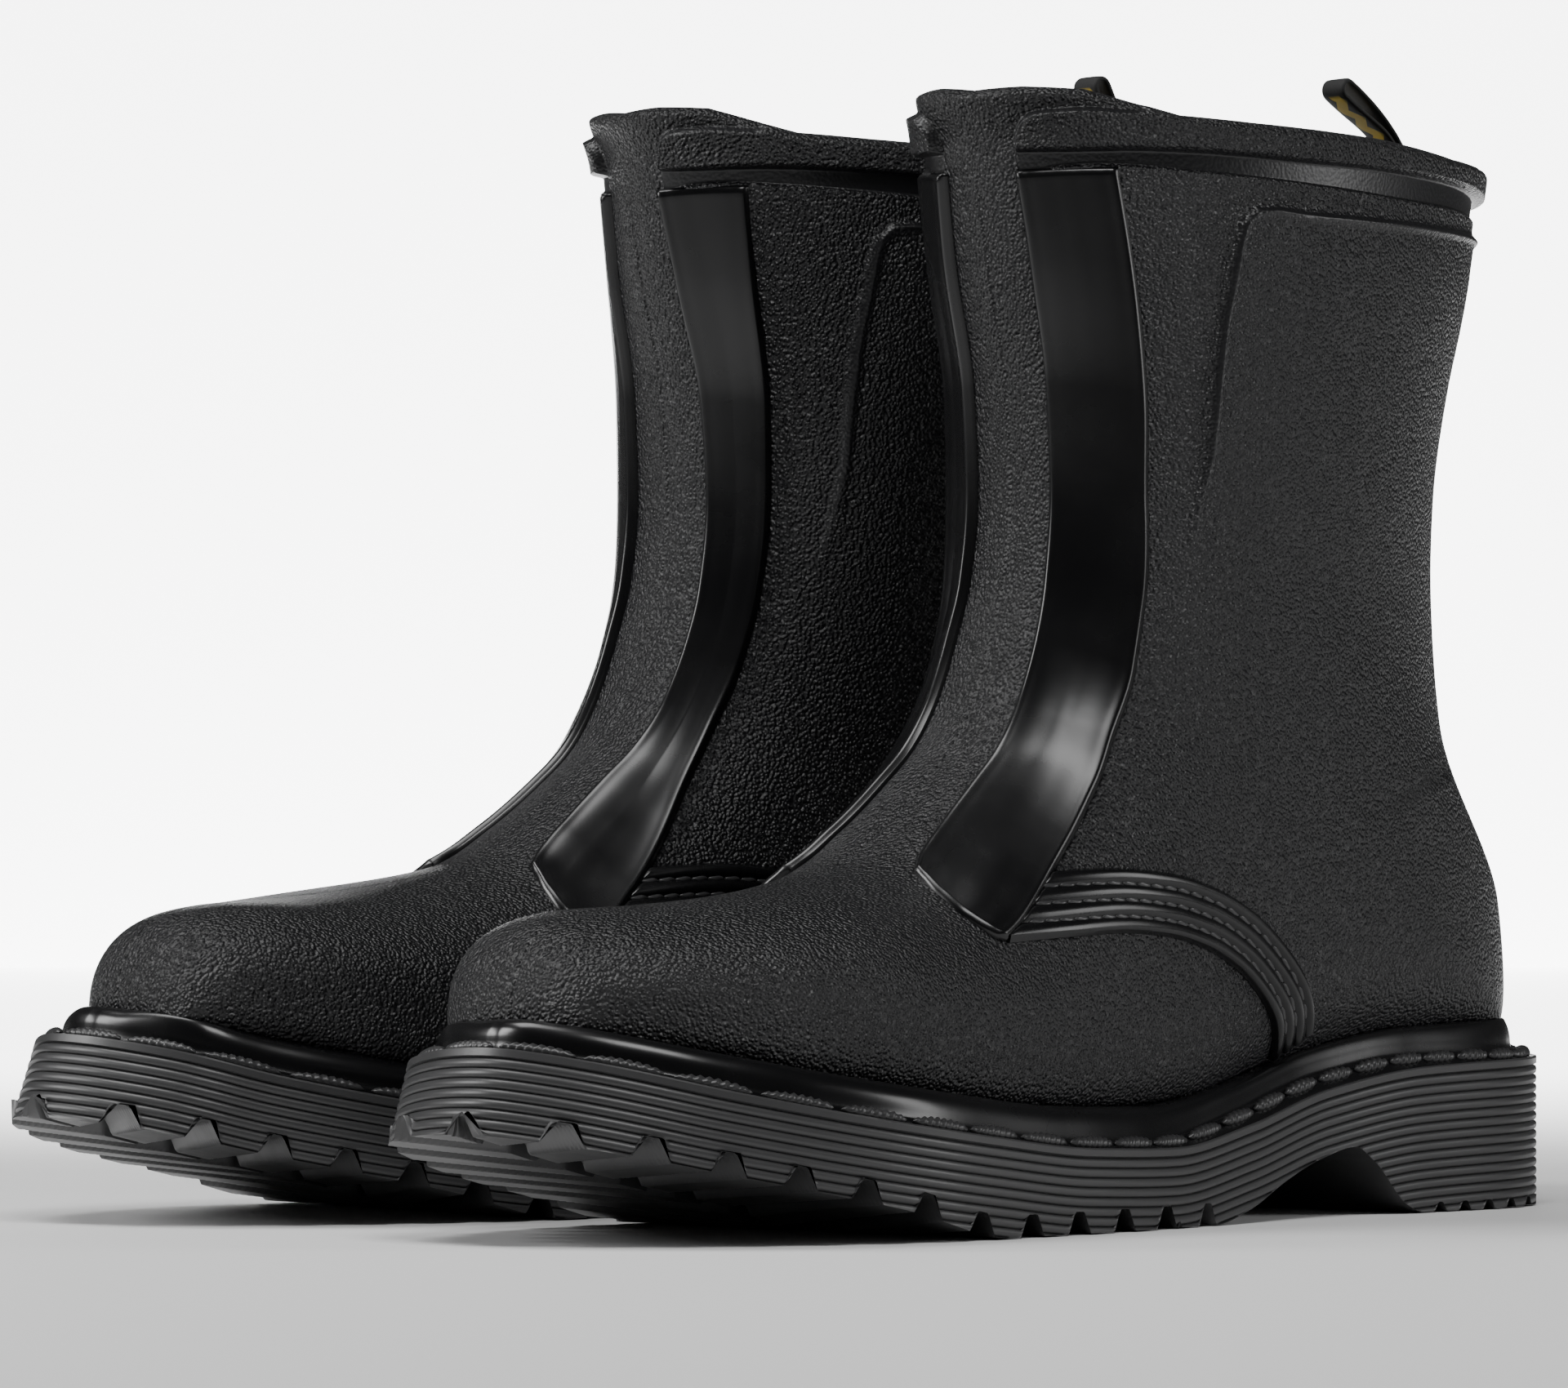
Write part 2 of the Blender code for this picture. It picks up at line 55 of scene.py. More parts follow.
TOE_OUT = math.radians(5.3)
SOLE_LENGTH, TOE_FLARE, FLARE_START = 298.0, 6.0, 200.0
RAND_HEIGHT = 8.4
RIM = 17
OUTLINE = [
    (0, 0, 0), (3, 14, 14), (12, 27.5, 26), (30, 36, 34), (60, 37.5, 36.5), (95, 38.5, 36),
    (130, 44.5, 37.5), (165, 51, 43), (200, 54, 48.5), (228, 55, 50.5), (252, 49.5, 48),
    (272, 39.5, 41), (286, 27, 33), (295, 12, 16), (298, 0, 0)]
SOLE_TOP = [(0, 31), (60, 29.5), (90, 25.8), (120, 19.5), (150, 15.6), (180, 16.4),
            (210, 19.4), (240, 23.5), (270, 29.4), (298, 37.8)]
SOLE_BOTTOM = [(0, 0), (61, 0), (66, 1.5), (77, 11), (83, 14), (94, 12), (107, 8), (122, 2.5),
               (135, 0), (206, 0), (235, 6.5), (265, 13), (298, 21.5)]
SECTIONS = [
    (287.0, 41.0, 287.0, 41.0, 0.0, 0.0, 2.6, 2.3, 0.45, 0.00, -4.0),
    (286.2, 48.0, 286.8, 37.5, 8.5, 10.5, 2.8, 2.3, 0.45, 0.00, -4.0),
    (282.5, 56.5, 285.0, 36.5, 14.0, 19.0, 3.2, 2.2, 0.42, 0.02, -4.0),
    (275.8, 61.6, 279.0, 36.0, 21.5, 25.5, 3.8, 2.2, 0.42, 0.06, -4.0),
    (266.0, 63.8, 266.0, 33.5, 32.0, 31.5, 4.5, 2.2, 0.44, 0.06, -3.8),
    (245.0, 65.2, 245.0, 27.5, 42.0, 38.0, 4.5, 2.3, 0.46, -0.02, -3.0),
    (222.0, 67.4, 220.0, 23.5, 45.5, 40.5, 4.5, 2.15, 0.45, -0.06, -2.0),
    (197.0, 72.4, 190.0, 19.8, 44.5, 39.5, 4.5, 2.0, 0.42, -0.02, -1.0),
    (184.0, 80.2, 162.0, 18.5, 42.5, 37.0, 4.5, 2.1, 0.45, 0.03, 0.0),
    (172.5, 88.8, 130.0, 20.5, 40.5, 34.5, 4.5, 2.25, 0.50, 0.04, 0.0),
    (164.0, 96.0, 95.0, 27.4, 38.7, 33.5, 3.8, 2.4, 0.56, 0.02, 0.0),
    (158.0, 104.5, 60.0, 32.0, 38.0, 33.7, 3.8, 2.45, 0.60, -0.02, 0.0),
    (152.3, 118.0, 16.0, 34.0, 37.5, 35.2, 3.7, 2.45, 0.63, -0.06, 0.0),
    (148.3, 131.0, 10.5, 58.0, 37.0, 37.3, 2.9, 2.4, 0.65, -0.10, 0.0),
    (146.4, 148.0, 25.5, 95.0, 37.0, 39.5, 2.3, 2.3, 0.64, -0.12, 0.0),
    (148.0, 169.5, 31.0, 145.0, 39.8, 40.4, 2.2, 2.15, 0.57, -0.09, 0.0),
    (153.5, 194.5, 24.5, 183.0, 42.4, 41.2, 2.15, 2.05, 0.52, 0.00, 0.0),
    (159.5, 229.5, 16.5, 212.8, 43.4, 41.2, 2.0, 2.0, 0.50, 0.08, 0.0)]
BAND_LINE = [(190, 63.6), (175, 64.5), (158, 65.2), (143, 64.2), (130, 61.5), (119, 57.0),
             (109.5, 50.5), (102.5, 43.5), (98, 35.5)]
BAND_WIDTH = 13.0
LOOP_PIVOT = (22.5, 215.2)

# ------------------------------------------------------- sizes of the details, millimetres
MM_PER_ROW = 33.0  # between two sections of the shaft's top
COLLAR_HEIGHT, COLLAR_CORNER = 2.7, 5.0
LEDGE_HEIGHT, QUARTER_HEIGHT, QUARTER_BEAD = 0.9, 0.7, 0.9
CREASE_DEPTH, SEAM_DEPTH, SEAM_WIDTH = 0.4, 0.3, 0.34
TONGUE_FLARE, RIM_ROUNDING, RIM_THICKNESS = 2.4, 1.2, 5.2
FOOTBED_ROWS, FOOTBED_ANGLE, FOOTBED_LOW, FOOTBED_THICK = (2.8, 12.3), 48.0, 7.6, 4.0
STRIP_HEIGHT, STRIP_HOLLOW, STRIP_BEAD = 1.7, 0.5, 0.25
BAND_BASE, BAND_RIB, BAND_RIBS = 0.6, 1.0, 4
BAND_STITCH = {"length": 3.9, "width": 0.65, "height": 0.6, "twist": 0.12}
WELT_STITCH = {"inset": 2.9, "fill": 0.93, "width": 1.35, "height": 1.3, "twist": 0.2, "turns": 7.0}
SUNK = -1.0  # the hidden edge of a raised piece, under the skin
SIDE_RIB_PITCH, SIDE_RIB_DEPTH, SIDE_RIB_START = 1.93, 0.75, 1.6
BALL_PITCH, BALL_DEPTH, BALL_HALF, BALL_SLOPE = 14.6, 4.4, 3.5, 2.1
HEEL_PITCH, HEEL_DEPTH, HEEL_HALF, HEEL_SLOPE = 8.0, 1.9, 1.9, 1.1
MIDDLE_DEPTH, MIDDLE_HALF, MIDDLE_SLOPE = 3.6, 2.0, 0.8
TAPE_HALF, TAPE_THICK, LOOP_ROOT, LOOP_BEND = 4.9, 0.62, 16.0, 6.0
ZIGZAG_RUN, ZIGZAG_HALF = 3.4, 2.4

# ------------------------------------------------------------------------------ looks
CAMERA_AZIMUTH, CAMERA_ELEVATION = math.radians(48.5), math.radians(-0.21)
CAMERA_DISTANCE, CAMERA_LENS = 2.26, 251.6
CAMERA_ASIDE, CAMERA_HEIGHT, CAMERA_AHEAD = -0.00856, 0.10675, 0.00255
WHITE_GLOW = 5.0  # emission that shows as white
FLOOR_HALF, FLOOR_DROP = 7.0, 0.0003
GLOW_FROM, GLOW_TO, GLOW_SIDE, GLOW_SIDE_END = 0.2, 1.1, 0.4, 0.8
BACKDROP_DISTANCE, BACKDROP_HALF, BACKDROP_LOW, BACKDROP_HIGH = 2.4, 0.42, -0.01, 0.5
WORLD_GLOW = 0.06
LIGHTS = {  # place, size in metres, power in watts
    "key": ((0.70, -0.44, 1.42), (0.8, 0.5), 12.5),
    "left": ((-0.84, -0.87, 0.62), (0.35, 0.5), 7.5),
    "right": ((0.9, 0.85, 0.45), (0.4, 0.6), 4),
    "top": ((-0.55, -0.45, 1.5), (0.7, 0.7), 12)}


# ------------------------------------------------------------------------------- curves
def smooth(points):
    """Monotone cubic through rows of (x, y, ...); returns a function of x."""
    table = np.asarray(points, float)
    x, y = table[:, 0], table[:, 1:]
    step = np.diff(x)[:, None]
    slope = np.diff(y, axis=0) / step
    tangent = np.zeros_like(y)
    same = slope[:-1] * slope[1:] > 0
    before, after = np.where(same, slope[:-1], 1.0), np.where(same, slope[1:], 1.0)
    heavy, light = 2 * step[1:] + step[:-1], step[1:] + 2 * step[:-1]
    tangent[1:-1] = np.where(same, (heavy + light) / (heavy / before + light / after), 0.0)
    tangent[0], tangent[-1] = slope[0], slope[-1]

    def curve(at):
        at = np.asarray(at, float)
        i = np.clip(np.searchsorted(x, at) - 1, 0, len(x) - 2)
        h = step[i, 0][..., None]
        t = (at[..., None] - x[i][..., None]) / h
        return (y[i] * (1 + 2 * t) * (1 - t) ** 2 + tangent[i] * h * t * (1 - t) ** 2
                + y[i + 1] * t * t * (3 - 2 * t) + tangent[i + 1] * h * t * t * (t - 1))

    return curve


def line(points):
    """The same curve for a single value."""
    curve = smooth(points)
    return lambda at: curve(at)[..., 0]


def gentle(points, reach_out):
    """The curve averaged over a window, without its small kinks."""
    curve = line(points)
    offsets = np.linspace(-reach_out, reach_out, 15)
    return lambda at: np.mean([curve(np.clip(at + o, points[0][0], points[-1][0]))
                               for o in offsets], axis=0)


def rise(x, low, high):
    """0 below low, 1 above high, smooth between."""
    t = np.clip((np.asarray(x, float) - low) / (high - low), 0, 1)
    return t * t * (3 - 2 * t)


def spline_ring(points, count):
    """Closed Catmull-Rom curve, with count steps between neighbouring points."""
    p = np.asarray(points, float)
    a, b, c, d = np.roll(p, 1, 0), p, np.roll(p, -1, 0), np.roll(p, -2, 0)
    t = (np.arange(count) / count)[:, None, None]
    ring = 0.5 * (2 * b + (c - a) * t + (2 * a - 5 * b + 4 * c - d) * t * t
                  + (3 * b - a - 3 * c + d) * t ** 3)
    return ring.transpose(1, 0, 2).reshape(-1, 2)


def even_ring(ring, count):
    """Closed ring of points resampled at equal distances."""
    closed = np.vstack([ring, ring[:1]])
    run = np.concatenate([[0], np.cumsum(np.linalg.norm(np.diff(closed, axis=0), axis=1))])
    at = np.arange(count) / count * run[-1]
    return np.stack([np.interp(at, run, closed[:, k]) for k in range(closed.shape[1])], 1)


def soften(values, passes):
    """Smooths a closed ring of numbers."""
    for _ in range(passes):
        values = (np.roll(values, 1, 0) + 2 * values + np.roll(values, -1, 0)) / 4
    return values


def ring_normals(ring):
    """Inward normals of a closed ring, softened at its corners."""
    along = np.roll(ring, -1, 0) - np.roll(ring, 1, 0)
    normal = np.stack([-along[:, 1], along[:, 0]], 1)
    normal /= np.linalg.norm(normal, axis=1)[:, None]
    return soften(normal, 6)


def distance_to(path, points):
    """Distance of 2-D points from a path, and the side of it they lie on."""
    path = np.asarray(path, float)
    best = np.full(points.shape[:-1], 1e9)
    side = np.ones(points.shape[:-1])
    for a, b in zip(path[:-1], path[1:]):
        ab = b - a
        t = np.clip(((points - a) @ ab) / (ab @ ab), 0, 1)
        off = points - (a + t[..., None] * ab)
        gap = np.linalg.norm(off, axis=-1)
        turn = np.sign(ab[0] * off[..., 1] - ab[1] * off[..., 0])
        closer = gap < best
        best = np.where(closer, gap, best)
        side = np.where(closer, turn, side)
    return best, side


sole_top = line(SOLE_TOP)
sole_bottom = line(SOLE_BOTTOM)
section_curve = smooth([(i, *row) for i, row in enumerate(SECTIONS)])
EDGE = [(lateral, s) for s, lateral, medial in OUTLINE]
EDGE += [(-medial, s) for s, lateral, medial in reversed(OUTLINE[1:-1])]
OUTLINE_RING = spline_ring(EDGE, 24)


def half_width(s, side):
    """The outline's distance from the middle line at s, on one side."""
    edge = OUTLINE_RING[OUTLINE_RING[:, 0] * side >= -1e-6]
    edge = edge[np.argsort(edge[:, 1])]
    return np.abs(np.interp(s, edge[:, 1], edge[:, 0]))


# ---------------------------------------------------------------------- the upper's surface
def surface(u, phi):
    """Points of the skin. u counts sections from toe to rim; phi runs round each, 0 below."""
    u, phi = np.broadcast_arrays(np.asarray(u, float), np.radians(phi))
    (top_s, top_z, low_s, low_z, lateral, medial, low_full, top_full, waist, tilt,
     offset) = np.moveaxis(section_curve(u), -1, 0)
    across, down = np.sin(phi), np.cos(phi)
    lower = down > 0
    power = np.where(lower, 2 / low_full, 2 / top_full)
    x = np.sign(across) * np.where(across > 0, lateral, medial) * np.abs(across) ** power
    share = np.abs(down) ** power
    h = np.where(lower, waist * (1 - share), waist + (1 - waist) * share)
    span = np.hypot(top_s - low_s, top_z - low_z) + 1e-6
    h = h - h * tilt * x / span
    return np.stack([x + offset, low_s + (top_s - low_s) * h, low_z + (top_z - low_z) * h], -1)


def outward(u, phi):
    """Unit normals of the skin."""
    u, phi = np.broadcast_arrays(np.asarray(u, float), np.asarray(phi, float))
    step = 0.03
    along = surface(u + step, phi) - surface(np.maximum(u - step, 0.0), phi)
    round_it = surface(u, phi + 1.0) - surface(u, phi - 1.0)
    normal = np.cross(round_it, along)
    normal /= np.maximum(np.linalg.norm(normal, axis=-1)[..., None], 1e-9)
    return np.where((u < step)[..., None], np.array([0.0, 1.0, 0.0]), normal)


def angle_at(u, x, hand):
    """Angle round section u, on its upper half, at which the skin is x from the middle."""
    row = section_curve(u)
    width = row[..., 4] if hand > 0 else row[..., 5]
    share = np.clip((hand * (x - row[..., 10])) / width, 0, 0.9999)
    return hand * (180 - np.degrees(np.arcsin(share ** (row[..., 7] / 2))))


def reach(s, z, hand):
    """The skin's x at points of the side view."""
    s, z = np.broadcast_arrays(np.asarray(s, float), np.asarray(z, float))
    u = np.linspace(0.05, RIM, 900)
    rows = section_curve(u)
    low, span = rows[:, 2:4], rows[:, 0:2] - rows[:, 2:4]
    p = np.stack([s, z], -1)[..., None, :]
    turn = span[:, 0] * (p[..., 1] - low[:, 1]) - span[:, 1] * (p[..., 0] - low[:, 0])
    i = np.argmax((turn[..., :-1] * turn[..., 1:]) <= 0, axis=-1)
    a = np.take_along_axis(turn, i[..., None], -1)[..., 0]
    b = np.take_along_axis(turn, i[..., None] + 1, -1)[..., 0]
    row = section_curve(u[i] + (u[1] - u[0]) * np.where(a == b, 0, a / (a - b)))
    low, span = row[..., 2:4], row[..., 0:2] - row[..., 2:4]
    length = np.linalg.norm(span, axis=-1)
    h = ((p[..., 0, :] - low) * span).sum(-1) / length ** 2
    x = np.zeros_like(h)
    for _ in range(4):
        level = h / (1 - row[..., 9] * x / length)
        lower = level < row[..., 8]
        part = np.where(lower, 1 - level / row[..., 8],
                        (level - row[..., 8]) / (1 - row[..., 8]))
        power = np.where(lower, row[..., 6], row[..., 7])
        width = row[..., 4] if hand > 0 else row[..., 5]
        x = hand * width * (1 - np.clip(np.abs(part), 0, 1) ** power) ** (1 / power)
    return np.where((h > 0) & (h < 1), x + row[..., 10], np.nan)


def rim_row(phi):
    """Section number of the rim, which is lower at the sides than the last section."""
    angle = np.abs((np.asarray(phi, float) + 180) % 360 - 180)
    return RIM - np.interp(angle, [0, 45, 60, 85, 115, 130, 150, 165, 180],
                           [-0.08, -0.03, 0.01, 0.03, 0.09, 0.11, 0.02, 0.03, 0.06])


# ------------------------------------------------------------------------- mesh building
def place(points, side):
    """Boot-frame millimetres to row-frame metres; side is 1 for the left boot, -1 for the right."""
    p = np.asarray(points, float)
    forward = HEEL_CENTRE - p[..., 1]
    x = p[..., 0] * math.cos(TOE_OUT) - forward * math.sin(TOE_OUT) + HEEL_SPACING
    y = p[..., 0] * math.sin(TOE_OUT) + forward * math.cos(TOE_OUT) + PAIR_CENTRE - HEEL_CENTRE
    return np.stack([x * side, y, p[..., 2]], -1) * MM


def quads(rows, columns, wrap, start=0):
    """Vertex numbers of a grid's faces, closed round its columns if wrap is set."""
    i = np.arange(rows - 1)[:, None]
    j = np.arange(columns if wrap else columns - 1)[None, :]
    k = (j + 1) % columns
    return start + np.stack([i * columns + j, i * columns + k, (i + 1) * columns + k,
                             (i + 1) * columns + j], -1).reshape(-1, 4)


def make(name, points, faces, finish, side, flip=False, values=None, uv=None):
    """Object from boot-frame points and quads. flip turns the faces over."""
    if flip != (side < 0):
        faces = faces[:, ::-1]
    mesh = bpy.data.meshes.new(name)
    mesh.from_pydata(place(points, side).tolist(), [], faces.tolist())
    for key, numbers in (values or {}).items():
        layer = mesh.attributes.new(key, "FLOAT", "POINT")
        layer.data.foreach_set("value", np.asarray(numbers, np.float32).ravel())
    if uv is not None:
        layer = mesh.uv_layers.new(name="UVMap")
        corner = np.zeros(len(mesh.loops), np.int32)
        mesh.loops.foreach_get("vertex_index", corner)
        layer.data.foreach_set("uv", np.asarray(uv, np.float32).reshape(-1, 2)[corner].ravel())
    mesh.materials.append(finish)
    mesh.shade_smooth()
    item = bpy.data.objects.new(name, mesh)
    bpy.context.scene.collection.objects.link(item)
    return item


def grid(name, points, finish, side, wrap=False, flip=False, values=None, uv=None):
    """Object from a grid of boot-frame points."""
    rows, columns = points.shape[:2]
    return make(name, points.reshape(-1, 3), quads(rows, columns, wrap), finish, side, flip,
                values, uv)


def finish_piece(item, word, nodes):
    """The piece rides on its boot and stands for the named nodes."""
    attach(item, f"{word}_boot")
    if nodes:
        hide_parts(*[f"{word}_{node}" for node in nodes])


# ----------------------------------------------------------------------------- materials
def shader(name, colour, roughness, metallic=0.0):
    made = bpy.data.materials.new(name)
    made.use_nodes = True
    principled = made.node_tree.nodes["Principled BSDF"]
    principled.inputs["Base Color"].default_value = (*colour, 1.0)
    principled.inputs["Roughness"].default_value = roughness
    principled.inputs["Metallic"].default_value = metallic
    return made, principled


def node(tree, kind, inputs=None, **settings):
    made = tree.nodes.new(kind)
    for key, value in settings.items():
        setattr(made, key, value)
    for key, value in (inputs or {}).items():
        made.inputs[key].default_value = value
    return made


def grained(name, colour, roughness, size, depth):
    """Rubber with a pebbled grain; size and depth in millimetres."""
    made, principled = shader(name, colour, roughness)
    tree = made.node_tree
    link = tree.links.new
    place_at = node(tree, "ShaderNodeTexCoord")
    scaled = node(tree, "ShaderNodeVectorMath", {1: (1000 / size,) * 3}, operation="MULTIPLY")
    link(place_at.outputs["Object"], scaled.inputs[0])
    warp = node(tree, "ShaderNodeTexNoise", {"Scale": 0.6, "Detail": 2.0})
    link(scaled.outputs[0], warp.inputs["Vector"])
    bent = node(tree, "ShaderNodeVectorMath", {1: (0.3, 0.3, 0.3)}, operation="MULTIPLY_ADD")
    link(warp.outputs["Color"], bent.inputs[0])
    link(scaled.outputs[0], bent.inputs[2])
    pebble = node(tree, "ShaderNodeTexVoronoi", {"Scale": 1.0, "Smoothness": 0.6},
                  feature="SMOOTH_F1")
    link(bent.outputs[0], pebble.inputs["Vector"])
    wrinkle = node(tree, "ShaderNodeTexNoise", {"Scale": 1.7, "Detail": 4.0, "Roughness": 0.6})
    link(bent.outputs[0], wrinkle.inputs["Vector"])
    mixed = node(tree, "ShaderNodeMath", {1: 0.15}, operation="MULTIPLY_ADD")
    link(wrinkle.outputs["Fac"], mixed.inputs[0])
    flipped = node(tree, "ShaderNodeMath", {0: 1.0}, operation="SUBTRACT")
    link(pebble.outputs["Distance"], flipped.inputs[1])
    link(flipped.outputs[0], mixed.inputs[2])
    amount = node(tree, "ShaderNodeAttribute", attribute_name="grain")
    bump = node(tree, "ShaderNodeBump", {"Distance": depth * MM})
    link(amount.outputs["Fac"], bump.inputs["Strength"])
    link(mixed.outputs[0], bump.inputs["Height"])
    link(bump.outputs["Normal"], principled.inputs["Normal"])
    cloud = node(tree, "ShaderNodeTexNoise", {"Scale": 22.0, "Detail": 3.0})
    link(place_at.outputs["Object"], cloud.inputs["Vector"])
    spread = node(tree, "ShaderNodeMapRange", {"To Min": roughness - 0.083,
                                               "To Max": roughness + 0.083})
    link(cloud.outputs["Fac"], spread.inputs["Value"])
    link(spread.outputs["Result"], principled.inputs["Roughness"])
    return made


def satin(name, colour, roughness, scale, depth):
    """Smooth rubber, with slight unevenness."""
    made, principled = shader(name, colour, roughness)
    tree = made.node_tree
    link = tree.links.new
    place_at = node(tree, "ShaderNodeTexCoord")
    cloud = node(tree, "ShaderNodeTexNoise", {"Scale": scale, "Detail": 5.0})
    link(place_at.outputs["Object"], cloud.inputs["Vector"])
    bump = node(tree, "ShaderNodeBump", {"Strength": 1.0, "Distance": depth * MM})
    link(cloud.outputs["Fac"], bump.inputs["Height"])
    link(bump.outputs["Normal"], principled.inputs["Normal"])
    spread = node(tree, "ShaderNodeMapRange", {"To Min": roughness - 0.08,
                                               "To Max": roughness + 0.08})
    link(cloud.outputs["Fac"], spread.inputs["Value"])
    link(spread.outputs["Result"], principled.inputs["Roughness"])
    return made


def webbing_finish():
    """Black woven tape with a yellow zigzag on one face; UV runs along and across in mm."""
    made, principled = shader("webbing", (0.012, 0.012, 0.012), 0.75)
    tree = made.node_tree
    link = tree.links.new
    uv = node(tree, "ShaderNodeTexCoord")
    parts = node(tree, "ShaderNodeSeparateXYZ")
    link(uv.outputs["UV"], parts.inputs[0])
    weave = node(tree, "ShaderNodeTexChecker", {"Scale": 1.6})
    link(uv.outputs["UV"], weave.inputs["Vector"])
    wave = node(tree, "ShaderNodeMath", {1: ZIGZAG_RUN}, operation="PINGPONG")
    link(parts.outputs["X"], wave.inputs[0])
    centred = node(tree, "ShaderNodeMath", {1: ZIGZAG_RUN / 2}, operation="SUBTRACT")
    link(wave.outputs[0], centred.inputs[0])
    off = node(tree, "ShaderNodeMath", operation="SUBTRACT")
    link(parts.outputs["Y"], off.inputs[0])
    link(centred.outputs[0], off.inputs[1])
    size = node(tree, "ShaderNodeMath", operation="ABSOLUTE")
    link(off.outputs[0], size.inputs[0])
    inside = node(tree, "ShaderNodeMath", {1: ZIGZAG_HALF}, operation="LESS_THAN")
    link(size.outputs[0], inside.inputs[0])
    face = node(tree, "ShaderNodeAttribute", attribute_name="yellow")
    both = node(tree, "ShaderNodeMath", operation="MULTIPLY")
    link(inside.outputs[0], both.inputs[0])
    link(face.outputs["Fac"], both.inputs[1])
    mix = node(tree, "ShaderNodeMix", data_type="RGBA")
    mix.inputs["A"].default_value = (0.012, 0.012, 0.012, 1)
    mix.inputs["B"].default_value = (0.75, 0.52, 0.03, 1)
    link(both.outputs[0], mix.inputs["Factor"])
    link(mix.outputs["Result"], principled.inputs["Base Color"])
    bump = node(tree, "ShaderNodeBump", {"Strength": 0.6, "Distance": 0.3 * MM})
    link(weave.outputs["Fac"], bump.inputs["Height"])
    link(bump.outputs["Normal"], principled.inputs["Normal"])
    return made


GRAIN = grained("grained_rubber", (0.006, 0.006, 0.007), 0.38, 0.72, 0.7)
GLOSS = satin("smooth_rubber", (0.002, 0.002, 0.0025), 0.26, 60.0, 0.06)
SOLE = satin("sole_rubber", (0.042, 0.042, 0.043), 0.38, 160.0, 0.08)
THREAD = satin("welt_thread", (0.035, 0.035, 0.036), 0.35, 500.0, 0.1)
FELT = satin("lining_felt", (0.03, 0.03, 0.033), 0.9, 900.0, 0.3)
FOAM = satin("footbed_cloth", (0.04, 0.04, 0.045), 0.9, 700.0, 0.3)
STEEL = shader("steel", (0.55, 0.56, 0.58), 0.35, 1.0)[0]
BOARD = shader("board", (0.35, 0.28, 0.2), 0.8)[0]
TAPE = webbing_finish()

# ------------------------------------------------------------------------------ features
COLLAR_TOP = line([(0, 17.4), (100, 17.4), (126, 17.2), (140, 16.905), (148, 16.9), (156, 16.88),
                   (164, 16.85), (180, 16.78)])
COLLAR_LOW = line([(0, 16.83), (50, 16.85), (84, 16.80), (104, 16.75), (122, 16.72), (138, 16.69),
                   (156, 16.65), (180, 16.63)])
LEDGE = line([(0, 16.64), (46, 16.70), (84, 16.64), (104, 16.62), (130, 16.60), (145, 16.59),
              (157, 16.56), (167, 16.51), (180, 16.50)])
QUARTER = [(10, 200.0), (33.6, 201.5), (80, 203), (104, 203.7), (112, 204.6), (116.5, 204.2),
           (119, 202), (120.2, 198), (121.3, 190.6), (123, 181), (124.2, 167.6),
           (125.2, 154.4), (128, 141), (133, 124)]
CREASE = [(37.2, 92.3), (48, 90.6), (61, 87.4), (71.3, 81.5)]


def relief(u, phi, skin):
    """Height of the moulded features over the skin, and how grained each spot is.

    The collar, the ledge under it, the quarter's outline, the heel's crease and the seam.
    """
    x, s, z = skin[..., 0], skin[..., 1], skin[..., 2]
    angle = np.abs(phi)
    centre = x - section_curve(u)[..., 10]
    front = np.abs(centre) - np.where(centre > 0, 9.6, 10.4)
    top = (COLLAR_TOP(angle) - u) * MM_PER_ROW
    bottom = (u - COLLAR_LOW(angle)) * MM_PER_ROW
    corner = COLLAR_CORNER
    cornered = corner - np.hypot(np.maximum(corner - front, 0), np.maximum(corner - top, 0))
    near_corner = (front < corner) & (top < corner)
    inside = np.where(near_corner, cornered, np.minimum(front, top))
    collar = rise(np.minimum(inside, bottom), -0.4, 0.8)
    height = COLLAR_HEIGHT * collar
    ledge = (LEDGE(angle) - u) * MM_PER_ROW
    under = rise(ledge, -0.25, 0.45) * rise(front, -0.5, 1.0)
    near_top = rise(u, 15.6, 16.3)
    height = height + LEDGE_HEIGHT * under * near_top * rise(front, 0, 2)
    channel = ((1 - rise(ledge, -0.2, 0.2)) * (1 - collar) * rise(front, -0.5, 0.5)
               * (1 - rise(bottom, 0.2, 1.2)))
    gap, turn = distance_to(QUARTER, np.stack([s, z], -1))
    signed = gap * -turn
    fade = rise(z, 126, 165) * rise(np.abs(centre), 14, 22)
    height = height + fade * (QUARTER_HEIGHT * rise(signed, -0.9, 0.6)
                              + QUARTER_BEAD * np.exp(-signed ** 2))
    crease, _ = distance_to(CREASE, np.stack([s, z], -1))
    creased = (x > 0) * rise(s, 36, 46) * (1 - rise(s, 60, 72))
    height = height - CREASE_DEPTH * creased * (np.exp(-(crease / 0.9) ** 2)
                                                - 0.5 * np.exp(-(crease - 2.0) ** 2))
    seam = np.exp(-(centre / SEAM_WIDTH) ** 2) * (angle > 90)
    strong = np.clip(rise(s, 262, 284) + rise(u, 7.0, 8.2), 0, 1) * (1 - rise(u, 16.2, 16.5))
    height = height - SEAM_DEPTH * seam * (0.25 + 0.75 * strong)
    grain = 1.0 - 0.9 * channel
    grain = grain * np.where(collar > 0.5, 1.25, 1.0)
    grain = grain * (1 - 0.9 * fade * np.exp(-(signed / 1.1) ** 2))
    grain = grain * (1 - 0.8 * np.exp(-((inside - 0.2) / 0.7) ** 2) * (bottom > 0))
    return height, grain


def section_steps():
    """Section numbers for the rows of a fine skin, close together where the relief is."""
    foot = np.concatenate([[0, 0.03, 0.08, 0.15], np.linspace(0.25, 2, 30)[:-1],
                           np.linspace(2, 15.8, 330)[:-1]])
    return np.concatenate([foot, np.linspace(15.8, 16.45, 24)[:-1],
                           np.linspace(16.45, RIM, 76)])


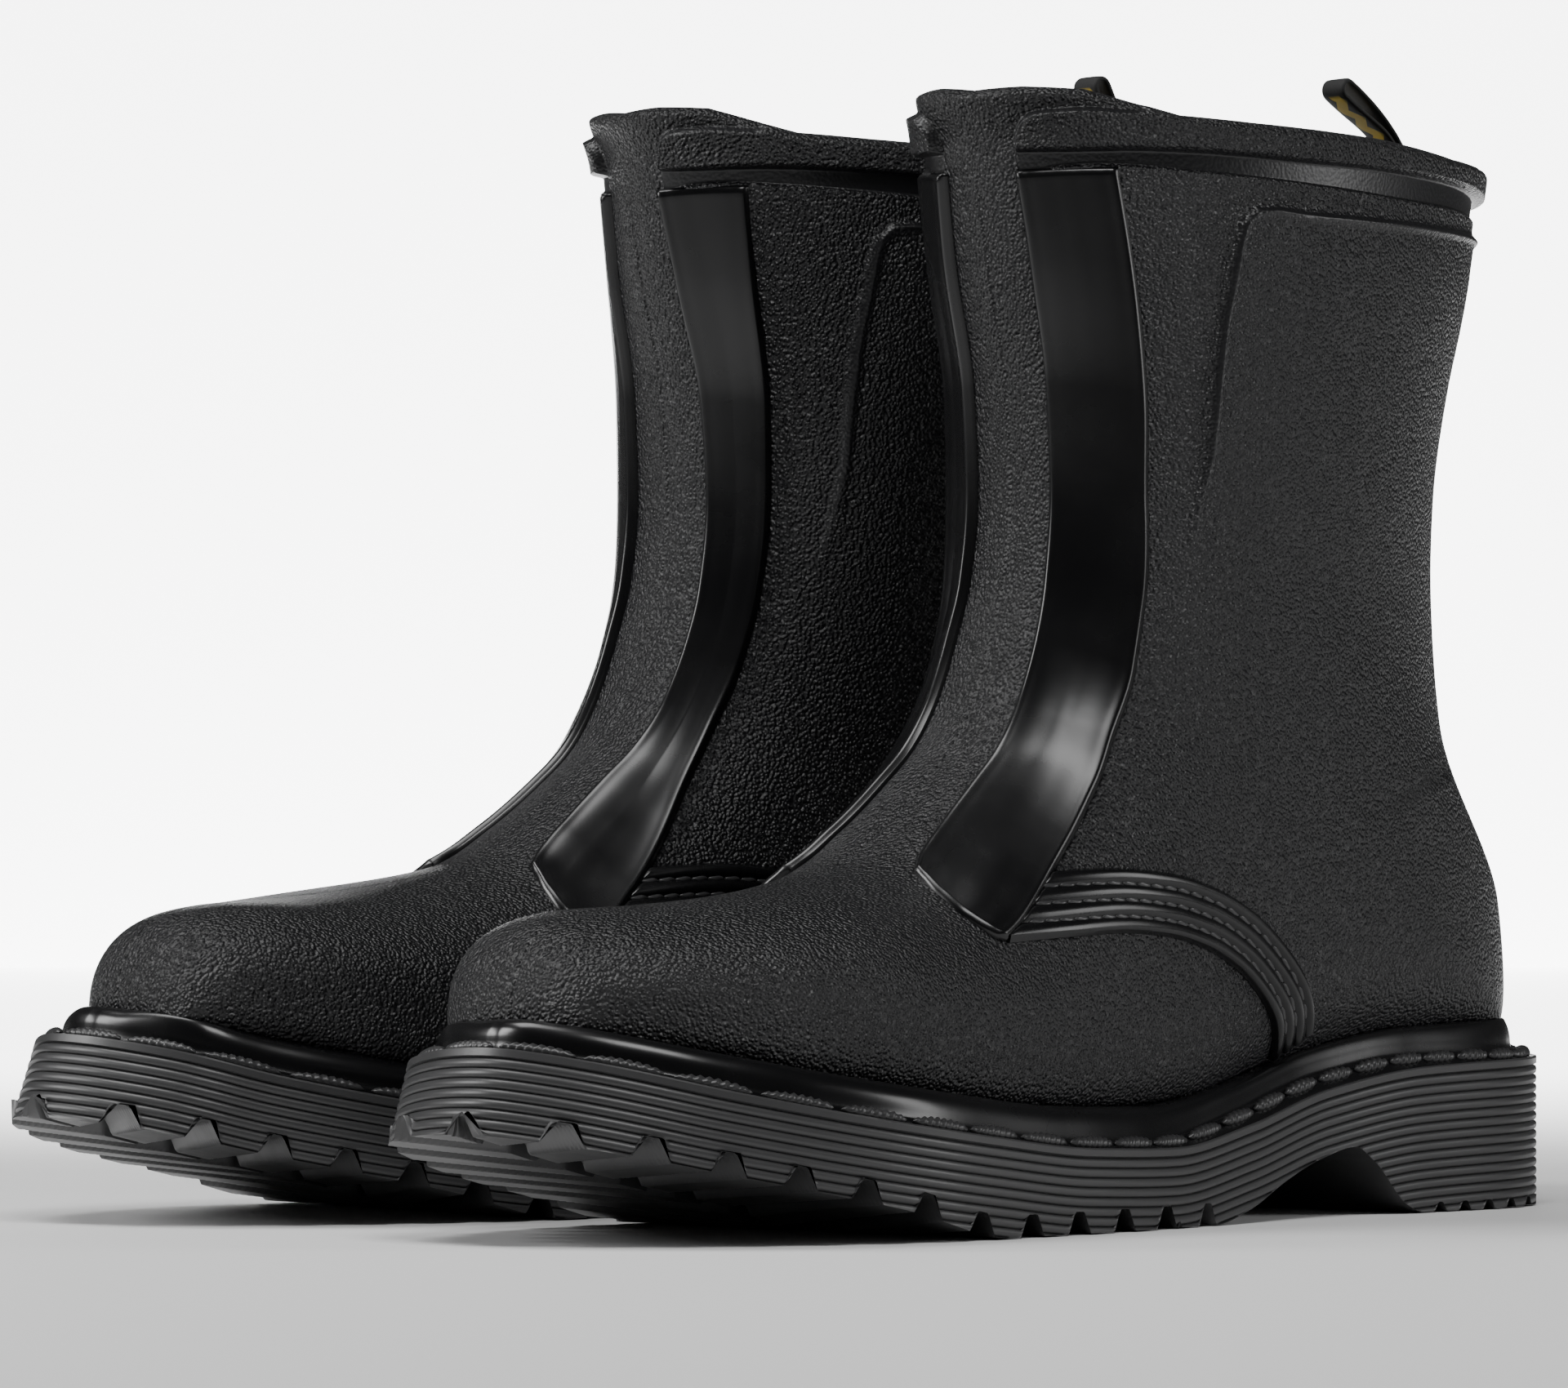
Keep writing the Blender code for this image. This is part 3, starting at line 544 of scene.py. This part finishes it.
def upper_piece(word, side):
    """The outer skin with its collar, turned over the rim down to the lining."""
    u = section_steps()
    phi = np.concatenate([np.linspace(-180, -160, 60)[:-1], np.linspace(-160, -85, 130)[:-1],
                          np.linspace(-85, 85, 140)[:-1], np.linspace(85, 160, 130)[:-1],
                          np.linspace(160, 180, 60)[:-1]])
    rim = rim_row(phi)
    rows = np.repeat(u[:, None], len(phi), 1)
    rows = np.where(rows > 16, 16 + (rows - 16) * (rim - 16)[None, :], rows)
    angle = np.repeat(phi[None, :], len(u), 0)
    skin = surface(rows, angle)
    normal = outward(rows, angle)
    height, grain = relief(rows, angle, skin)
    edge = (rim[None, :] - rows) * MM_PER_ROW
    tongue = rise(np.abs(angle), 128, 150)
    height = height + TONGUE_FLARE * rise(rows, 16.68, 17.0) * rise(np.abs(angle), 140, 165)
    rounding = RIM_ROUNDING * (1 - 0.75 * tongue)
    height = height - rounding * (1 - np.sqrt(1 - np.clip(1 - edge / 1.5, 0, 1) ** 2 + 1e-9))
    points = skin + normal * height[..., None]
    turned = []
    for t in np.linspace(0.06, 1, 14):
        out = height[-1] * (1 - t) - RIM_THICKNESS * t
        lift = 0.7 * math.sin(math.pi * min(t * 1.1, 1)) + 0.2
        turned.append(skin[-1] + normal[-1] * out[:, None] + np.array([0, 0, lift]))
    points = np.concatenate([points, np.array(turned)])
    grain = np.concatenate([grain, np.repeat(grain[-1:], len(turned), 0)])
    item = grid(f"{word}_upper_skin", points, GRAIN, side, wrap=True, values={"grain": grain})
    finish_piece(item, word, ["upper", "collar_band"])


def lining_piece(word, side):
    """Felt inside the boot, thinner in the shaft."""
    u = np.concatenate([np.linspace(1.2, 15.8, 120), np.linspace(15.9, 17, 16)])
    phi = np.linspace(-180, 180, 121)[:-1]
    rim = rim_row(phi)
    rows = np.repeat(u[:, None], len(phi), 1)
    rows = np.where(rows > 16, 16 + (rows - 16) * (rim - 16)[None, :], rows)
    angle = np.repeat(phi[None, :], len(u), 0)
    depth = np.interp(rows, [14, 15, 16.8, 17], [7.3, 5.3, 5.3, RIM_THICKNESS])
    points = surface(rows, angle) - outward(rows, angle) * depth[..., None]
    item = grid(f"{word}_lining_skin", points, FELT, side, wrap=True, flip=True)
    finish_piece(item, word, ["lining"])


def footbed_piece(word, side):
    """Loose foam insole with rounded edges."""
    first, last = FOOTBED_ROWS
    rows, angle = np.meshgrid(np.linspace(first, last, 90),
                              np.linspace(-FOOTBED_ANGLE, FOOTBED_ANGLE, 50), indexing="ij")
    edge = np.minimum(np.minimum(rows - first, last - rows) * 14,
                      (FOOTBED_ANGLE - np.abs(angle)) * 0.9)
    rounded = np.sqrt(1 - (1 - np.clip(edge / FOOTBED_THICK, 0, 1)) ** 2)
    depth = FOOTBED_LOW + FOOTBED_THICK * rounded
    points = surface(rows, angle) - outward(rows, angle) * depth[..., None]
    item = grid(f"{word}_footbed_pad", points, FOAM, side, flip=True)
    finish_piece(item, word, ["footbed"])


STRIP_REAR = {1: gentle([(6.2, 112), (7.1, 117), (7.85, 122.7), (8.46, 126.9), (9.34, 130.3),
                         (10.4, 132.3), (11.4, 134.1), (12.0, 134.3), (12.6, 133.7),
                         (13.24, 132.7), (13.97, 132.2), (14.75, 134.7), (15.48, 138),
                         (16.12, 140.8), (17.2, 147)], 0.3),
              -1: gentle([(6.2, 110), (7.92, 120), (8.74, 127), (10.05, 138), (11.93, 144.6),
                          (13.38, 146), (15.0, 144.8), (17.2, 141)], 0.45)}
STRIP_FRONT = gentle([(6.8, 18.0), (7.13, 17.1), (7.43, 14.6), (7.95, 13.0), (8.63, 11.7),
                      (9.5, 11.2), (12, 11.5), (13, 11.1), (14.4, 10.9), (16.0, 10.2),
                      (16.6, 8.8)], 0.12)
STRIP_START = line([(0, 7.13), (0.3, 6.99), (0.54, 6.96), (0.75, 7.02), (0.93, 7.12), (1, 7.22)])


def strip_piece(word, side, hand):
    """Smooth strip beside the tongue: slightly hollow, with a bead along both edges."""
    k = np.concatenate([[0, 0, 0.01], np.linspace(0.02, 0.98, 56), [0.99, 1, 1]])
    v = np.concatenate([[0, 0, 0.002], np.linspace(0.005, 0.995, 420), [0.998, 1, 1]])
    start = STRIP_START(k) + (0 if hand > 0 else 0.05)
    end = 16.53 + 0.05 * k
    rows = start[None, :] * (1 - v[:, None]) + end[None, :] * v[:, None]
    front = np.abs(angle_at(rows, hand * STRIP_FRONT(rows), hand))
    rear = STRIP_REAR[hand](rows)
    angle = hand * (front + (rear - front) * k[None, :])
    skin, normal = surface(rows, angle), outward(rows, angle)
    width = np.linalg.norm(skin[:, 0] - skin[:, -1], axis=-1)[:, None]
    from_front, from_rear = k[None, :] * width, (1 - k[None, :]) * width
    length = np.cumsum(np.linalg.norm(np.diff(skin, axis=0, prepend=skin[:1]), axis=-1), axis=0)
    from_low, from_top = length, length[-1] - length
    edge = np.minimum(np.minimum(from_front, from_rear), np.minimum(from_low, from_top + 0.3))
    hollow = np.minimum(from_front, from_rear)
    height = STRIP_HEIGHT * rise(edge, -0.9, 1.2) - STRIP_HOLLOW * rise(hollow, 2.0, 9.0)
    for from_side in (from_rear, from_front):
        height = height + STRIP_BEAD * np.exp(-(from_side - 1.5) ** 2)
    height[0] = height[-1] = SUNK
    height[:, 0] = height[:, -1] = SUNK
    points = skin + normal * height[..., None]
    name = "lateral" if hand > 0 else "medial"
    item = grid(f"{word}_{name}_strip_skin", points, GLOSS, side, flip=hand < 0)
    finish_piece(item, word, [f"{name}_strip"])


def beads(centres, along, up, lengths, width, height, twist, turns):
    """Points and quads of one lens-shaped stitch at each centre."""
    rings, sides = 29, 16
    t = np.linspace(-1, 1, rings)
    angle = np.arange(sides) / sides * 2 * math.pi
    profile = np.sqrt(np.clip(1 - np.abs(t) ** 2.2, 0, 1))
    points, faces = [], []
    for centre, a, n, length in zip(centres, along, up, lengths):
        b = np.cross(n, a)
        wave = 1 + twist * np.cos(2 * angle[None, :] - t[:, None] * turns * length / 4)
        side_way = width * profile[:, None] * np.cos(angle) * wave
        lift = height * profile[:, None] * np.sin(angle) * wave
        ring = (centre + (t * length / 2)[:, None, None] * a + side_way[..., None] * b
                + lift[..., None] * n)
        faces.append(quads(rings, sides, True, start=len(points) * rings * sides))
        points.append(ring.reshape(-1, 3))
    return np.concatenate(points), np.concatenate(faces)


def band_piece(word, side, hand):
    """Curved band of four ribs, with stitches between them; it runs in under the strip."""
    path = np.asarray(BAND_LINE, float)
    run = np.concatenate([[0], np.cumsum(np.linalg.norm(np.diff(path, axis=0), axis=1))])
    curve = smooth(np.column_stack([run, path]))
    at = np.linspace(0, run[-1], 215)
    middle = curve(at)
    along = np.gradient(middle, axis=0)
    across = np.stack([-along[:, 1], along[:, 0]], 1)
    across /= np.linalg.norm(across, axis=1)[:, None]
    k = np.concatenate([[-0.5, -0.5], np.linspace(-0.49, 0.49, 75), [0.5, 0.5]])
    spot = middle[:, None] + across[:, None] * (k * BAND_WIDTH)[None, :, None]
    x = reach(spot[..., 0], spot[..., 1], hand)
    skin = np.concatenate([x[..., None], spot], -1)
    normal = np.cross(np.gradient(skin, axis=0), np.gradient(skin, axis=1))
    normal[:, 0], normal[:, -1] = normal[:, 2], normal[:, -3]
    normal[:, 1], normal[:, -2] = normal[:, 2], normal[:, -3]
    normal /= np.linalg.norm(normal, axis=-1)[..., None] + 1e-12
    normal *= np.sign(normal[..., :1]) * hand
    across_mm = (k + 0.5) * BAND_WIDTH
    edge = np.minimum(across_mm, BAND_WIDTH - across_mm)
    ribs = np.abs(np.sin((k + 0.5) * BAND_RIBS * math.pi)) ** 0.5
    height = (BAND_BASE + BAND_RIB * ribs) * rise(edge, -0.3, 0.9)
    height[0] = height[-1] = SUNK
    u = np.linspace(7.0, 10.0, 40)
    gap, turn = distance_to(surface(u, hand * STRIP_REAR[hand](u))[:, 1:], skin[..., 1:])
    clear = rise(gap * turn, -1.6, -0.1)
    height = SUNK + (height[None, :] - SUNK) * clear
    points = skin + normal * height[..., None]
    name = "lateral" if hand > 0 else "medial"
    item = grid(f"{word}_{name}_band_skin", points, GLOSS, side, flip=hand > 0)
    finish_piece(item, word, [f"{name}_band"])
    centres, ways, ups = [], [], []
    for groove in range(1, BAND_RIBS):
        j = int(np.argmin(np.abs(k + 0.5 - groove / BAND_RIBS)))
        for i in range(2, len(at) - 6, 8):
            if clear[i - 2:i + 3, j].min() < 1:
                continue
            way = skin[i + 2, j] - skin[i - 2, j]
            centres.append(skin[i, j] + normal[i, j] * 0.75)
            ways.append(way / np.linalg.norm(way))
            ups.append(normal[i, j])
    stitch = BAND_STITCH
    points, faces = beads(centres, ways, ups, [stitch["length"]] * len(centres),
                          stitch["width"], stitch["height"], stitch["twist"], 3.0)
    item = make(f"{word}_{name}_band_stitches", points, faces, THREAD, side)
    finish_piece(item, word, [])


# -------------------------------------------------------------------------- rand and sole
def welt_rise(s):
    """Height of the sloping welt over the sole's top edge, where the stitches lie."""
    return np.interp(s, [0, 25, 70, 110, 150, 298], [0.5, 1.0, 2.3, 2.5, 1.3, 1.0])


def rand_piece(word, side):
    """The welt's slope, the wall above it and the lip against the upper."""
    ring = even_ring(OUTLINE_RING, 520)
    normal = ring_normals(ring)
    depth = np.arange(4.0, 30.0, 0.1)
    probe = ring[:, None] + normal[:, None] * depth[None, :, None]
    height = sole_top(probe[..., 1]) + RAND_HEIGHT
    lateral = reach(probe[..., 1], height, 1)
    medial = reach(probe[..., 1], height, -1)
    hit = (probe[..., 0] < lateral) & (probe[..., 0] > medial)
    wall = soften(depth[np.argmax(hit, axis=1)], 40)
    base = np.minimum(5.2, wall - 2.2)
    lip = np.minimum(base + 3.9, wall - 0.6)
    slope = welt_rise(ring[:, 1])
    profile = [(np.full_like(base, 1.0), -0.5), (np.full_like(base, 1.15), 0.2),
               (np.full_like(base, 1.5), 0.25 * slope), (np.full_like(base, 2.2), 0.6 * slope),
               (np.minimum(2.9, base), 0.85 * slope), (np.minimum(3.8, base), 1.05 * slope),
               (base - 0.35, 1.3 * slope), (base, 1.45 * slope + 0.4),
               (base + 0.2, 1.5 * slope + 1.0)]
    for t in np.linspace(0.1, 1, 14):
        start = 1.5 * slope + 1.0
        up = start + (RAND_HEIGHT - start) * (1 - (1 - t) ** 1.6)
        profile.append((base + 0.3 + (lip - base - 0.3) * (1 - math.cos(t * math.pi / 2)), up))
    profile += [(lip + (wall - lip) * 0.5, RAND_HEIGHT + 0.12), (wall + 0.3, RAND_HEIGHT - 0.1),
                (wall + 1.5, RAND_HEIGHT - 1.6)]
    rings = []
    seam = np.exp(-((ring[:, 0] + 4.0) / 0.5) ** 2) * (ring[:, 1] > 200)
    for inset, up in profile:
        here = ring + normal * (np.asarray(inset) + 0.25 * seam)[:, None]
        rings.append(np.column_stack([here, sole_top(here[:, 1]) + up]))
    points = np.array(rings)
    item = grid(f"{word}_rand_skin", points, GLOSS, side, wrap=True)
    finish_piece(item, word, ["rand"])


def tread(x, s):
    """Depth of the grooves between the sole's lugs: V-shaped bars and a middle groove."""
    slant = s - 0.32 * np.abs(x) * np.sign(s - 150)
    bar = np.abs((slant / BALL_PITCH) % 1 - 0.5) * BALL_PITCH
    ball = BALL_DEPTH * np.clip((BALL_HALF - bar) / BALL_SLOPE, 0, 1)
    middle = MIDDLE_DEPTH * np.clip((MIDDLE_HALF - np.abs(x + 1.5)) / MIDDLE_SLOPE, 0, 1)
    small = np.abs(((s - 0.3 * np.abs(x)) / HEEL_PITCH) % 1 - 0.5) * HEEL_PITCH
    heel = HEEL_DEPTH * np.clip((HEEL_HALF - small) / HEEL_SLOPE, 0, 1)
    front = rise(s, 130, 137)
    back = 1 - rise(s, 57, 61)
    return np.maximum(ball, middle) * front + np.maximum(heel, middle * 0.5) * back


def flare_at(s):
    """How far the sole's lower edge stands forward of its top edge."""
    return TOE_FLARE * np.clip((s - FLARE_START) / (SOLE_LENGTH - FLARE_START), 0, 1)


def outsole_piece(word, side):
    """Ribbed sides, cut by the tread at their foot, and the underside with its lugs."""
    ring = even_ring(OUTLINE_RING, 1300)
    normal = ring_normals(ring)
    s = ring[:, 1]
    top = sole_top(s)
    low = sole_bottom(s) + tread(ring[:, 0], s)
    pitch, start = SIDE_RIB_PITCH, SIDE_RIB_START
    below = np.concatenate([np.linspace(0, start, 5)[:-1], np.arange(start, 33, pitch / 7)])
    ribs = np.where(below < start, 1.0,
                    np.abs(np.sin((below - start) / pitch * math.pi)) ** 0.4)
    z = top[None, :] - below[:, None]
    z = np.maximum(z, low[None, :])
    share = (top[None, :] - z) / np.maximum(top - sole_bottom(s), 1)[None, :]
    depth = SIDE_RIB_DEPTH * (1 - ribs)[:, None] * (z > low[None, :] + 0.05)
    rows = []
    for i in range(len(below)):
        here = ring + normal * depth[i][:, None]
        rows.append(np.column_stack([here[:, 0], here[:, 1] + flare_at(s) * share[i], z[i]]))
    ledge = [(0.0, 0.0), (0.12, 0.3), (0.45, 0.42), (0.9, 0.3), (1.2, 0.1), (2.0, 0.15),
             (7.5, 0.4)]
    for inset, up in ledge:
        here = ring + normal * inset
        rows.insert(0, np.column_stack([here, sole_top(here[:, 1]) + up]))
    side_points = np.array(rows)
    across = np.sin(np.linspace(-1, 1, 151) * math.pi / 2)
    along = np.concatenate([[0, 0.3, 1], np.linspace(2.2, 295.8, 560), [297, 297.7, 298]])
    width = np.stack([half_width(along, -1), half_width(along, 1)], 1)
    x = np.where(across < 0, across * width[:, :1], across * width[:, 1:])
    spot = np.repeat(along[:, None], len(across), 1)
    height = sole_bottom(spot) + tread(x, spot)
    bottom = np.stack([x, spot + flare_at(spot), height], -1)
    faces = [quads(side_points.shape[0], side_points.shape[1], True),
             quads(bottom.shape[0], bottom.shape[1], False, start=side_points[..., 0].size)]
    points = np.concatenate([side_points.reshape(-1, 3), bottom.reshape(-1, 3)])
    faces[0] = faces[0][:, ::-1]
    item = make(f"{word}_outsole_skin", points, np.concatenate(faces), SOLE, side)
    item.data.set_sharp_from_angle(angle=math.radians(50))
    finish_piece(item, word, ["outsole"])


def welt_stitches(word, side):
    """Twisted stitches along the welt, longer towards the toe."""
    count_round = 3000
    ring = even_ring(OUTLINE_RING, count_round)
    inner = ring + ring_normals(ring) * WELT_STITCH["inset"]
    step = np.linalg.norm(np.roll(inner, -1, 0) - inner, axis=1)
    pitch = np.interp(inner[:, 1], [0, 60, 120, 200, 298], [10.4, 11, 12.8, 15.9, 17.5])
    count = np.cumsum(step / pitch)
    count = count / count[-1] * round(count[-1])
    centres, ways, ups, lengths = [], [], [], []
    for i in range(int(round(count[-1]))):
        j = int(np.argmin(np.abs(count - (i + 0.5))))
        s = inner[j, 1]
        slope = (sole_top(s + 1) - sole_top(s - 1)) / 2
        way = np.append(inner[(j + 1) % count_round] - inner[j], 0)
        way[2] = way[1] * slope
        way /= np.linalg.norm(way)
        up = np.array([0, -slope, 1.0])
        up /= np.linalg.norm(up)
        centres.append(np.array([inner[j, 0], s, sole_top(s) + 0.85 * welt_rise(s) + 0.25]))
        ways.append(way)
        ups.append(up)
        lengths.append(pitch[j] * WELT_STITCH["fill"])
    points, faces = beads(centres, ways, ups, lengths, WELT_STITCH["width"],
                          WELT_STITCH["height"], WELT_STITCH["twist"], WELT_STITCH["turns"])
    item = make(f"{word}_welt_stitches", points, faces, THREAD, side)
    finish_piece(item, word, ["welt_thread"])


def loop_piece(word, side):
    """Folded tape sewn inside the back of the rim, its end bent forward over the opening.

    The left boot's loop lies flatter than the right one's.
    """
    lean = math.radians(30 if side > 0 else 64)
    pivot = np.array(LOOP_PIVOT)
    direction = np.array([math.cos(lean), math.sin(lean)])
    root = pivot + np.array([1.2, -LOOP_ROOT])
    straight = np.array([0.0, 1.0])
    t = np.linspace(0, 1, 40)[:, None]
    tip = (pivot + direction * 26.0 + np.array([-1.5, 5.3]) if side > 0
           else pivot + direction * 25.5)
    spine = ((1 - t) ** 3 * root + 3 * (1 - t) ** 2 * t * (root + straight * 24)
             + 3 * (1 - t) * t ** 2 * (tip - direction * 20) + t ** 3 * tip)
    way = np.gradient(spine, axis=0)
    way /= np.linalg.norm(way, axis=1)[:, None]
    off = np.stack([-way[:, 1], way[:, 0]], 1)
    swell = 0.85 + 0.9 * rise(t[:, 0], 0.6, 0.97)
    back, front = spine + off * swell[:, None], spine - off * swell[:, None]
    turn = []
    for a in np.linspace(0.15, 0.85, 9):
        c, s = math.cos(a * math.pi), math.sin(a * math.pi)
        turn.append(spine[-1] + off[-1] * swell[-1] * c + way[-1] * swell[-1] * 1.1 * s)
    path = np.concatenate([back, turn, front[::-1]])
    run = np.concatenate([[0], np.cumsum(np.linalg.norm(np.diff(path, axis=0), axis=1))])
    yellow = np.concatenate([np.zeros(len(back)), np.zeros(len(turn)), np.ones(len(front))])
    tangent = np.gradient(path, axis=0)
    tangent /= np.linalg.norm(tangent, axis=1)[:, None]
    outer = np.stack([-tangent[:, 1], tangent[:, 0]], 1)
    half, thick = TAPE_HALF, TAPE_THICK
    twist = math.radians(22 if side > 0 else -8)
    ring_x = np.array([-1, -0.97, -0.85, -0.5, 0, 0.5, 0.85, 0.97, 1, 0.97, 0.85, 0.5, 0, -0.5,
                       -0.85, -0.97]) * half
    ring_n = np.array([0, 0.55, 0.9, 1, 1, 1, 0.9, 0.55, 0, -0.55, -0.9, -1, -1, -1, -0.9,
                       -0.55]) * thick
    rows, uv, paint = [], [], []
    for p, n, r, y in zip(path, outer, run, yellow):
        lay = twist * rise(r if r < run[-1] / 2 else run[-1] - r, 8, 26)
        flat = p[None, :] + ring_n[:, None] * n[None, :]
        flat[:, 0] += ring_x * math.sin(lay)
        rows.append(np.column_stack([ring_x * math.cos(lay), flat]))
        uv.append(np.column_stack([np.full(16, r), ring_x]))
        paint.append(np.where(np.abs(ring_x) < half * 0.8, y, 0.0))
    item = grid(f"{word}_pull_loop_tape", np.array(rows), TAPE, side, wrap=True,
                values={"yellow": np.array(paint)}, uv=np.array(uv))
    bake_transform(item)
    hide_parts(f"{word}_pull_loop", f"{word}_loop_anchor")


HIDDEN = {"toe_cap": STEEL, "midsole_plate": STEEL, "heel_counter": BOARD, "insole_board": BOARD}


def build_boot(word, side):
    upper_piece(word, side)
    lining_piece(word, side)
    footbed_piece(word, side)
    for hand in (1, -1):
        strip_piece(word, side, hand)
        band_piece(word, side, hand)
    rand_piece(word, side)
    outsole_piece(word, side)
    welt_stitches(word, side)
    loop_piece(word, side)
    for piece, finish in HIDDEN.items():
        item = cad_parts[f"{word}_{piece}"]
        item.data.materials.clear()
        item.data.materials.append(finish)


# ---------------------------------------------------------------------------- the studio
def area_light(name, spot, target, size, power):
    data = bpy.data.lights.new(name, "AREA")
    data.shape = "RECTANGLE"
    data.size, data.size_y = size
    data.energy = power
    item = bpy.data.objects.new(name, data)
    item.location = spot
    item.rotation_euler = (Vector(target) - Vector(spot)).to_track_quat("-Z", "Y").to_euler()
    bpy.context.scene.collection.objects.link(item)


def card(name, points, finish):
    mesh = bpy.data.meshes.new(name)
    mesh.from_pydata(points, [], [(0, 1, 2, 3)])
    mesh.materials.append(finish)
    item = bpy.data.objects.new(name, mesh)
    bpy.context.scene.collection.objects.link(item)


def floor_finish():
    """Pale floor that brightens into the backdrop away from the boots."""
    made, principled = shader("floor", (0.9, 0.9, 0.9), 0.8)
    tree = made.node_tree
    spot = node(tree, "ShaderNodeTexCoord")
    a = CAMERA_AZIMUTH
    far = node(tree, "ShaderNodeVectorMath", {1: (-math.sin(a), math.cos(a), 0)},
               operation="DOT_PRODUCT")
    tree.links.new(spot.outputs["Object"], far.inputs[0])
    glow = node(tree, "ShaderNodeMapRange", {"From Min": GLOW_FROM, "From Max": GLOW_TO,
                                             "To Min": 0.0, "To Max": WHITE_GLOW},
                interpolation_type="SMOOTHSTEP")
    tree.links.new(far.outputs["Value"], glow.inputs["Value"])
    across = node(tree, "ShaderNodeVectorMath", {1: (math.cos(a), math.sin(a), 0)},
                  operation="DOT_PRODUCT")
    tree.links.new(spot.outputs["Object"], across.inputs[0])
    aside = node(tree, "ShaderNodeMath", operation="ABSOLUTE")
    tree.links.new(across.outputs["Value"], aside.inputs[0])
    fade = node(tree, "ShaderNodeMapRange", {"From Min": GLOW_SIDE, "From Max": GLOW_SIDE_END,
                                             "To Min": 1.0, "To Max": 0.0},
                interpolation_type="SMOOTHSTEP")
    tree.links.new(aside.outputs[0], fade.inputs["Value"])
    both = node(tree, "ShaderNodeMath", operation="MULTIPLY")
    tree.links.new(glow.outputs["Result"], both.inputs[0])
    tree.links.new(fade.outputs["Result"], both.inputs[1])
    tree.links.new(both.outputs[0], principled.inputs["Emission Strength"])
    principled.inputs["Emission Color"].default_value = (1, 1, 1, 1)
    return made


def studio():
    """Floor, backdrop behind the boots, dim world and soft lights."""
    far, low = FLOOR_HALF, -FLOOR_DROP
    card("floor", [(-far, -far, low), (far, -far, low), (far, far, low), (-far, far, low)],
         floor_finish())
    white, principled = shader("backdrop", (0.9, 0.9, 0.9), 1.0)
    principled.inputs["Emission Color"].default_value = (1, 1, 1, 1)
    principled.inputs["Emission Strength"].default_value = WHITE_GLOW
    a = CAMERA_AZIMUTH
    base = Vector((math.sin(a), -math.cos(a), 0)) * -BACKDROP_DISTANCE
    aside = Vector((math.cos(a), math.sin(a), 0)) * BACKDROP_HALF
    low, high = Vector((0, 0, BACKDROP_LOW)), Vector((0, 0, BACKDROP_HIGH))
    card("backdrop", [base - aside + low, base + aside + low, base + aside + high,
                      base - aside + high], white)
    world = bpy.data.worlds.new("studio")
    world.use_nodes = True
    world.node_tree.nodes["Background"].inputs["Color"].default_value = (1, 1, 1, 1)
    world.node_tree.nodes["Background"].inputs["Strength"].default_value = WORLD_GLOW
    bpy.context.scene.world = world
    for name, (spot, size, power) in LIGHTS.items():
        area_light(name, spot, (0, 0, 0.1), size, power)


def camera():
    """A long lens, low and to the left of the toes."""
    a, e = CAMERA_AZIMUTH, CAMERA_ELEVATION
    back = Vector((math.sin(a) * math.cos(e), -math.cos(a) * math.cos(e), math.sin(e)))
    right = Vector((math.cos(a), math.sin(a), 0))
    up = back.cross(right)
    target = right * CAMERA_ASIDE + Vector((0, CAMERA_AHEAD, CAMERA_HEIGHT))
    turn = Matrix((right, up, back)).transposed().to_4x4()
    data = bpy.data.cameras.new("camera")
    data.sensor_width = 36
    data.lens = CAMERA_LENS
    data.clip_start, data.clip_end = 0.05, 50
    item = bpy.data.objects.new("camera", data)
    item.matrix_world = Matrix.Translation(target + back * CAMERA_DISTANCE) @ turn
    bpy.context.scene.collection.objects.link(item)
    bpy.context.scene.camera = item


for word, side in (("left", 1), ("right", -1)):
    build_boot(word, side)
studio()
camera()
